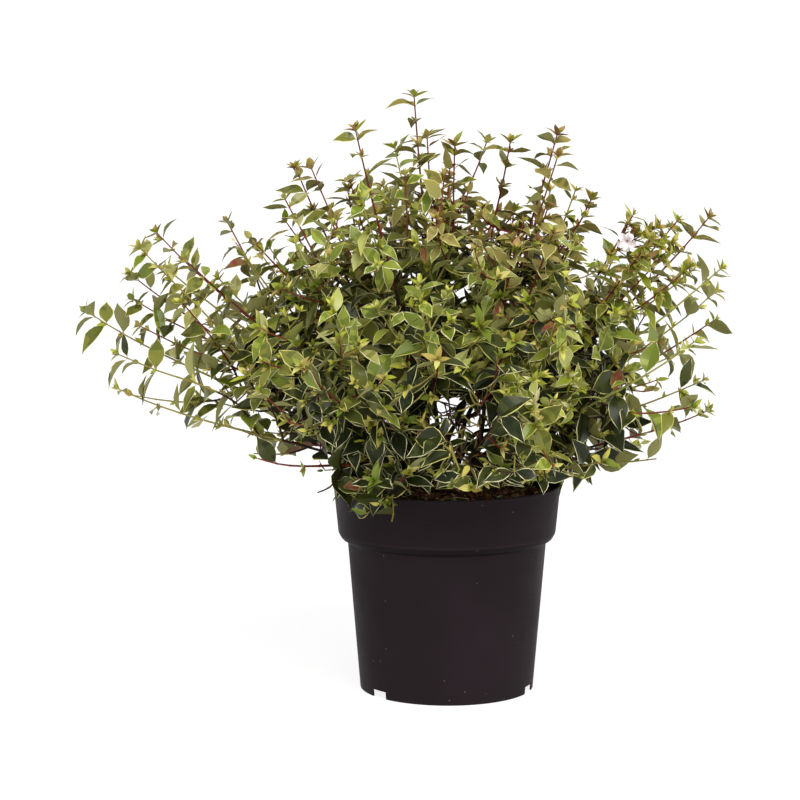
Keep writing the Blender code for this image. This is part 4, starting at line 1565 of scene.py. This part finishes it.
def relief_tube(points, radii, sides, seed, flare=0.0, start=0):
    """A limb with ridged bark: each ring is pushed in and out by noise that is drawn out along the limb."""
    corners = []
    travelled = 0
    for place, (centre, radius, (side, other)) in enumerate(zip(points, radii, carried_rings(points))):
        travelled += (centre - points[max(place - 1, 0)]).length
        for angle in circle(sides):
            around = Vector((math.cos(angle), math.sin(angle), 0))
            ridge = noise.noise(around * 2.6 + Vector((seed * 7.3, 0, travelled * 90)))
            fine = noise.noise(around * 6.0 + Vector((seed * 3.1, 9, travelled * 260)))
            lobes = flare * math.exp(-travelled / FLARE_FADE) * (0.5 + 0.5 * math.cos(3 * angle + seed))
            push = 1 + RIDGE_DEPTH * ridge + GRAIN_DEPTH * fine + lobes
            corners.append(centre + (side * around.x + other * around.y) * radius * push)
    rings = len(points)
    return corners, wall_triangles(start, rings, sides) + end_triangles(start, rings, sides)


def fine_line(points):
    """A smooth line through the points with rings at an even spacing."""
    line = rounded_line(points, 6)
    count = max(3, round(line_length(line) / RING_SPACING))
    return [along(line, step / count)[0] for step in range(count + 1)]


def bark_piece(name, node, corners, triangles, material):
    piece = mesh_piece(name, corners, triangles, None, [material], 60)
    placed(piece, "bark", node)


def build_stem(stem, plan, material, seed):
    """A stem with its root flare, sunk a little in the compost, and its fork arms."""
    foot, tip, heading = stem_curve(stem)
    sunk = foot - heading * 0.0015
    shares = [step / STEM_RINGS for step in range(STEM_RINGS + 1)]
    radii = [
        (STEM_FOOT_RADIUS + (STEM_TIP_RADIUS - STEM_FOOT_RADIUS) * share)
        * (1 + (ROOT_FLARE - 1) * math.exp(-share * 14))
        for share in shares
    ]
    parts = Parts()
    parts.add(*relief_tube([sunk.lerp(tip, share) for share in shares], radii, 16, seed, 0.28))
    for number, (owner, origin, _, end) in enumerate(plan.values()):
        if owner == stem:
            line = fine_line([origin, origin.lerp(end, 0.5), end])
            thick = [BOUGH_FOOT_RADIUS * 1.08] * len(line)
            parts.add(*relief_tube(line, thick, 12, seed + number * 0.37, 0.25, parts.count))
    bark_piece(f"bark_stem_{stem}", f"stem_{stem}", *parts.joined(), material)


def build_bough(name, plan, material, seed):
    """A bough from the end of its fork arm to the leaves."""
    points, _ = bough_points(name, plan)
    _, _, heading, end = plan[name]
    line = fine_line([end - heading * 0.001, *points[1:]])
    last = len(line) - 1
    taper = BOUGH_TIP_RADIUS - BOUGH_FOOT_RADIUS
    radii = [BOUGH_FOOT_RADIUS + taper * step / last for step in range(last + 1)]
    corners, triangles = relief_tube(line, radii, 12, seed)
    bark_piece(f"bark_bough_{name}", f"bough_{name}", corners, triangles, material)


# Pot and compost


def outer_radius(height):
    """The pot body's outer radius at a height below its band."""
    return FOOT_RADIUS + (BODY_TOP_RADIUS - FOOT_RADIUS) * height / BODY_TOP_Z


def eased(profile, cut, steps=3):
    """The profile with each inner corner rounded over the cut length on both sides."""
    found = [profile[0]]
    for before, here, after in zip(profile, profile[1:], profile[2:]):
        a, b, c = Vector(before), Vector(here), Vector(after)
        reach = min(cut, (a - b).length * 0.4, (c - b).length * 0.4)
        first = b + (a - b).normalized() * reach
        last = b + (c - b).normalized() * reach
        for step in range(steps + 1):
            t = step / steps
            found.append(tuple(first * (1 - t) ** 2 + b * 2 * t * (1 - t) + last * t * t))
    found.append(profile[-1])
    return found


def turned_object(name, profile, segments, material):
    """A closed body turned about Z from (radius, height) points that start and end on the axis."""
    bm = bmesh.new()
    points = [bm.verts.new((radius, 0, height)) for radius, height in profile]
    edges = [bm.edges.new(pair) for pair in zip(points, points[1:])]
    turn = {"axis": UP, "cent": (0, 0, 0), "angle": math.tau, "steps": segments, "use_merge": True}
    bmesh.ops.spin(bm, geom=points + edges, **turn)
    bmesh.ops.remove_doubles(bm, verts=bm.verts, dist=1e-6)
    bmesh.ops.recalc_face_normals(bm, faces=bm.faces)
    return bmesh_object(name, bm, material)


def cut_away(target, tools):
    """Cuts the tools out of the target and removes them."""
    for tool in tools:
        modifier = target.modifiers.new("cut", "BOOLEAN")
        modifier.operation = "DIFFERENCE"
        modifier.solver = "EXACT"
        modifier.object = tool
    graph = bpy.context.evaluated_depsgraph_get()
    result = bpy.data.meshes.new_from_object(target.evaluated_get(graph))
    target.modifiers.clear()
    target.data = result
    for tool in tools:
        bpy.data.objects.remove(tool, do_unlink=True)


def notch_cutter(azimuth):
    """A block through the foot ring."""
    place = Matrix.Rotation(math.radians(azimuth), 4, "Z") @ Matrix.Translation((FOOT_RADIUS, 0, 0))
    place = place @ Matrix.Diagonal((0.012, NOTCH_WIDTH, 2 * NOTCH_HEIGHT, 1))
    bm = bmesh.new()
    bmesh.ops.create_cube(bm, size=1, matrix=place)
    return bmesh_object(f"notch_{azimuth}", bm)


def drain_cutter(number, height):
    """A rod through the raised floor."""
    angle = math.tau * (number + 0.5) / DRAIN_HOLES
    ring = Vector((math.cos(angle), math.sin(angle), 0)) * DRAIN_RING_RADIUS
    place = Matrix.Translation(ring + UP * height)
    size = {"radius1": DRAIN_HOLE_RADIUS, "radius2": DRAIN_HOLE_RADIUS, "depth": 0.02, "segments": 24}
    bm = bmesh.new()
    bmesh.ops.create_cone(bm, cap_ends=True, matrix=place, **size)
    return bmesh_object(f"drain_{number}", bm)


def build_pot(material):
    """The shell with its corners rounded, a thin bead under the rim and the same cuts as the solid."""
    raised_top = FLOOR_RAISED_Z + FLOOR_THICK
    band_middle = (BODY_TOP_RADIUS + BAND_FOOT_RADIUS) / 2
    slope = (RIM_RADIUS - BAND_FOOT_RADIUS) / (POT_HEIGHT - BAND_FOOT_Z)
    lip = POT_HEIGHT - 0.0030
    profile = [
        (0, 0),
        (FLOOR_PAD_RADIUS, 0),
        (FLOOR_PAD_RADIUS + 0.001, FLOOR_RAISED_Z),
        (outer_radius(FLOOR_RAISED_Z) - POT_WALL, FLOOR_RAISED_Z),
        (FOOT_RADIUS - POT_WALL, 0),
        (FOOT_RADIUS, 0),
        (BODY_TOP_RADIUS, BODY_TOP_Z),
        (band_middle + 0.0015, BODY_TOP_Z + 0.0030),
        (BAND_FOOT_RADIUS, BAND_FOOT_Z),
        (RIM_RADIUS - slope * 0.0030 - 0.0004, lip),
        (RIM_RADIUS, lip + 0.0006),
        (RIM_RADIUS, POT_HEIGHT),
        (RIM_RADIUS - POT_WALL, POT_HEIGHT),
        (BAND_FOOT_RADIUS - POT_WALL, BAND_FOOT_Z + 0.001),
        (BODY_TOP_RADIUS - POT_WALL, BODY_TOP_Z + POT_WALL),
        (outer_radius(raised_top) - POT_WALL, raised_top),
        (FLOOR_PAD_RADIUS - 0.002, raised_top),
        (FLOOR_PAD_RADIUS - 0.003, FLOOR_THICK),
        (0, FLOOR_THICK),
    ]
    pot = turned_object("pot_shell", eased(profile, 0.0016), 144, material)
    tools = [notch_cutter(azimuth) for azimuth in NOTCH_AZIMUTHS]
    tools += [drain_cutter(number, raised_top) for number in range(DRAIN_HOLES)]
    cut_away(pot, tools)
    pot.data.shade_smooth()
    pot.data.set_sharp_from_angle(angle=math.radians(35))
    placed(pot, "pot_plastic", "pot")


def soil_height(x, y):
    """The compost's rough surface."""
    flat = math.hypot(x, y)
    inner = RIM_RADIUS - 2 * POT_WALL
    fall = min(max((flat - SOIL_MOUND_RADIUS) / (inner - SOIL_MOUND_RADIUS), 0), 1)
    level = SOIL_MOUND_Z + (SOIL_EDGE_Z - SOIL_MOUND_Z) * fall
    place = Vector((x, y, 0))
    lumps = noise.noise(place * 38) * 0.0028 + noise.noise(place * 120) * 0.0016
    return level + lumps + noise.noise(place * 420) * 0.0007


def build_compost(material):
    """The filling: its top is a fine rough surface, and its body follows the inside of the pot."""
    gap = POT_WALL + CLEARANCE
    slope = (RIM_RADIUS - BAND_FOOT_RADIUS) / (POT_HEIGHT - BAND_FOOT_Z)
    inner = BAND_FOOT_RADIUS - gap + slope * (SOIL_EDGE_Z - BAND_FOOT_Z)
    raised = FLOOR_RAISED_Z + FLOOR_THICK + CLEARANCE
    rings = [(inner * ring / SOIL_RINGS, None) for ring in range(1, SOIL_RINGS + 1)]
    rings += [
        (BAND_FOOT_RADIUS - gap, BAND_FOOT_Z + 0.003),
        (BODY_TOP_RADIUS - gap, BODY_TOP_Z + POT_WALL + 0.001),
        (outer_radius(raised) - gap, raised),
    ]
    corners = [Vector((0, 0, soil_height(0, 0)))]
    for radius, height in rings:
        for angle in circle(SOIL_SIDES):
            x, y = radius * math.cos(angle), radius * math.sin(angle)
            corners.append(Vector((x, y, height or soil_height(x, y))))
    low = len(corners) - SOIL_SIDES
    corners.append(Vector((0, 0, raised)))
    triangles = [face[::-1] for face in wall_triangles(1, len(rings), SOIL_SIDES)]
    for count in range(SOIL_SIDES):
        after = (count + 1) % SOIL_SIDES
        triangles += [(0, 1 + count, 1 + after), (low + count, len(corners) - 1, low + after)]
    piece = mesh_piece("compost_filling", corners, triangles, None, [material])
    placed(piece, "compost", "compost")


def scattered(draw, farthest):
    """A place on the compost, spread evenly."""
    angle = draw.uniform(0, math.tau)
    flat = farthest * math.sqrt(draw.random())
    return flat * math.cos(angle), flat * math.sin(angle)


def crumb_shape():
    bm = bmesh.new()
    bmesh.ops.create_icosphere(bm, subdivisions=1, radius=1)
    bm.verts.ensure_lookup_table()
    corners = [vertex.co.copy() for vertex in bm.verts]
    triangles = [[vertex.index for vertex in face.verts] for face in bm.faces]
    bm.free()
    return corners, triangles


def build_crumbs(materials, draw):
    """Loose crumbs, fibres and bits of bark on the compost."""
    shape, faces = crumb_shape()
    corners, triangles, slots = [], [], []
    for number in range(CRUMBS):
        x, y = scattered(draw, RIM_RADIUS - 2 * POT_WALL - 0.003)
        size = draw.uniform(0.0005, 0.0022) * (1.5 if draw.random() < 0.08 else 1)
        long = draw.choice((1, 1, 1.4, 3.2))
        turn = Matrix.Rotation(draw.uniform(0, math.tau), 3, "Z")
        turn = turn @ Matrix.Rotation(draw.uniform(-0.5, 0.5), 3, "Y")
        scale = Vector((long, draw.uniform(0.6, 1), draw.uniform(0.4, 0.8))) * size
        centre = Vector((x, y, soil_height(x, y) + size * 0.25))
        start = len(corners)
        for corner in shape:
            rough = 1 + 0.35 * noise.noise(corner * 1.7 + Vector((number, 0, 0)))
            corners.append(centre + turn @ Vector([a * b * rough for a, b in zip(corner, scale)]))
        triangles += [[start + corner for corner in face] for face in faces]
        slots += [draw.choice((0, 0, 1, 1, 2))] * len(faces)
    piece = mesh_piece("compost_crumbs", corners, triangles, slots, materials, 30)
    placed(piece, "compost")


def build_litter(numbers, palette, draw):
    """Fallen leaves on the compost, some still green and most gone brown."""
    fallen = Leaves(BLADE, True)
    for _ in range(FALLEN_LEAVES):
        x, y = scattered(draw, RIM_RADIUS - 2 * POT_WALL - 0.016)
        turn = draw.uniform(0, math.tau)
        tilt = Vector((draw.uniform(-0.35, 0.35), draw.uniform(-0.35, 0.35), 1)).normalized()
        length = draw.uniform(0.012, 0.024)
        blade, margin, under = draw.choice(FALLEN_TINTS)
        heading = Vector((math.cos(turn), math.sin(turn), draw.uniform(-0.1, 0.15))).normalized()
        root = (x, y, soil_height(x, y) + 0.0022)
        tints = (blade, margin, under, "tan", blade)
        fallen.add(root, heading, tilt, length, length, FALLEN_FORM, draw, tints)
        fallen.rows[-1].update(margin=FALLEN_MARGIN, teeth=FALLEN_TEETH)
    piece = mesh_piece("fallen_leaves", *fallen.arrays(0, numbers), palette)
    placed(piece, "foliage")


# Stage, light and camera


def build_stage():
    """A white floor that is bright of itself, as an over-lit one, so that shadows on it stay faint."""
    bm = bmesh.new()
    bmesh.ops.create_grid(bm, x_segments=1, y_segments=1, size=30)
    white = principled("floor_white", (122, 122, 122), 0.9, 0.0)
    shader_input(white, "Emission Color").default_value = (1, 1, 1, 1)
    shader_input(white, "Emission Strength").default_value = FLOOR_GLOW
    bmesh_object("floor", bm, white)


def build_light():
    """A white surround, and one broad soft key light from above, in front and a little to the right."""
    world = bpy.data.worlds.new("studio")
    bpy.context.scene.world = world
    world.use_nodes = True
    nodes, links = world.node_tree.nodes, world.node_tree.links
    fill, seen = nodes["Background"], nodes.new("ShaderNodeBackground")
    for background, strength in ((fill, FILL_STRENGTH), (seen, SEEN_STRENGTH)):
        background.inputs["Color"].default_value = (1, 1, 1, 1)
        background.inputs["Strength"].default_value = strength
    path = nodes.new("ShaderNodeLightPath")
    mixed = nodes.new("ShaderNodeMixShader")
    links.new(path.outputs["Is Camera Ray"], mixed.inputs["Fac"])
    links.new(fill.outputs["Background"], mixed.inputs[1])
    links.new(seen.outputs["Background"], mixed.inputs[2])
    links.new(mixed.outputs["Shader"], nodes["World Output"].inputs["Surface"])
    lamp = bpy.data.lights.new("key", "SUN")
    lamp.energy = KEY_STRENGTH
    lamp.angle = math.radians(KEY_SPREAD)
    new_object("key", lamp).rotation_euler = Vector(KEY_FROM).to_track_quat("Z", "Y").to_euler()


def build_camera():
    data = bpy.data.cameras.new("camera")
    data.sensor_width = SENSOR_WIDTH
    data.lens = FOCAL_PIXELS / PICTURE_SIZE * SENSOR_WIDTH
    camera = new_object("camera", data)
    aside = (POT_PIXEL_X - PICTURE_SIZE / 2) / FOCAL_PIXELS * CAMERA_DISTANCE
    camera.location = (-aside, -CAMERA_DISTANCE, CAMERA_HEIGHT)
    camera.rotation_euler = (math.radians(90 - CAMERA_PITCH), 0, 0)
    bpy.context.scene.camera = camera


# The whole


def build_filled_pot(numbers, palette):
    """The pot, the compost in it and what lies on that."""
    build_pot(pot_material())
    build_compost(compost_material("compost_dark", (66, 44, 32), (122, 84, 60), 90))
    crumb_materials = [compost_material(f"crumb_{name}", *row, 300) for name, row in CRUMB_TINTS.items()]
    build_crumbs(crumb_materials, random.Random(CRUMB_SEED))
    build_litter(numbers, palette, random.Random(LITTER_SEED))


def build_wood(plan):
    """The stems and boughs. Returns their stretches, which leaves keep off: (first, last, radius)."""
    bark = bark_material()
    limbs = [(origin, end, BOUGH_FOOT_RADIUS * 1.1) for _, origin, _, end in plan.values()]
    for seed, stem in enumerate(STEMS):
        build_stem(stem, plan, bark, seed)
        foot, tip, _ = stem_curve(stem)
        limbs.append((foot, tip, STEM_FOOT_RADIUS))
    for seed, name in enumerate(MASSES):
        build_bough(name, plan, bark, 10 + seed)
        points, _ = bough_points(name, plan)
        limbs += [(first, last, BOUGH_FOOT_RADIUS) for first, last in zip(points, points[1:])]
    return limbs


def main():
    build_camera()
    build_stage()
    build_light()
    bpy.context.scene.view_settings.view_transform = "Standard"
    materials = make_leaf_materials()
    palette = list(materials.values())
    numbers = {tint: place for place, tint in enumerate(materials)}
    build_filled_pot(numbers, palette)
    plan = limb_plan()
    limbs = build_wood(plan)
    directions = {name: polar(row[1], row[2]) for name, row in ROWS.items()}
    for number, name in enumerate(ROWS):
        growth, twigs = grow_mass(name, plan, Space(name, directions, limbs), number)
        if name == BLOSSOM_MASS:
            build_blossom(twigs[0], materials)
        build_leaves(name, growth, numbers, palette)
        build_shoots(name, growth, numbers, palette)


main()
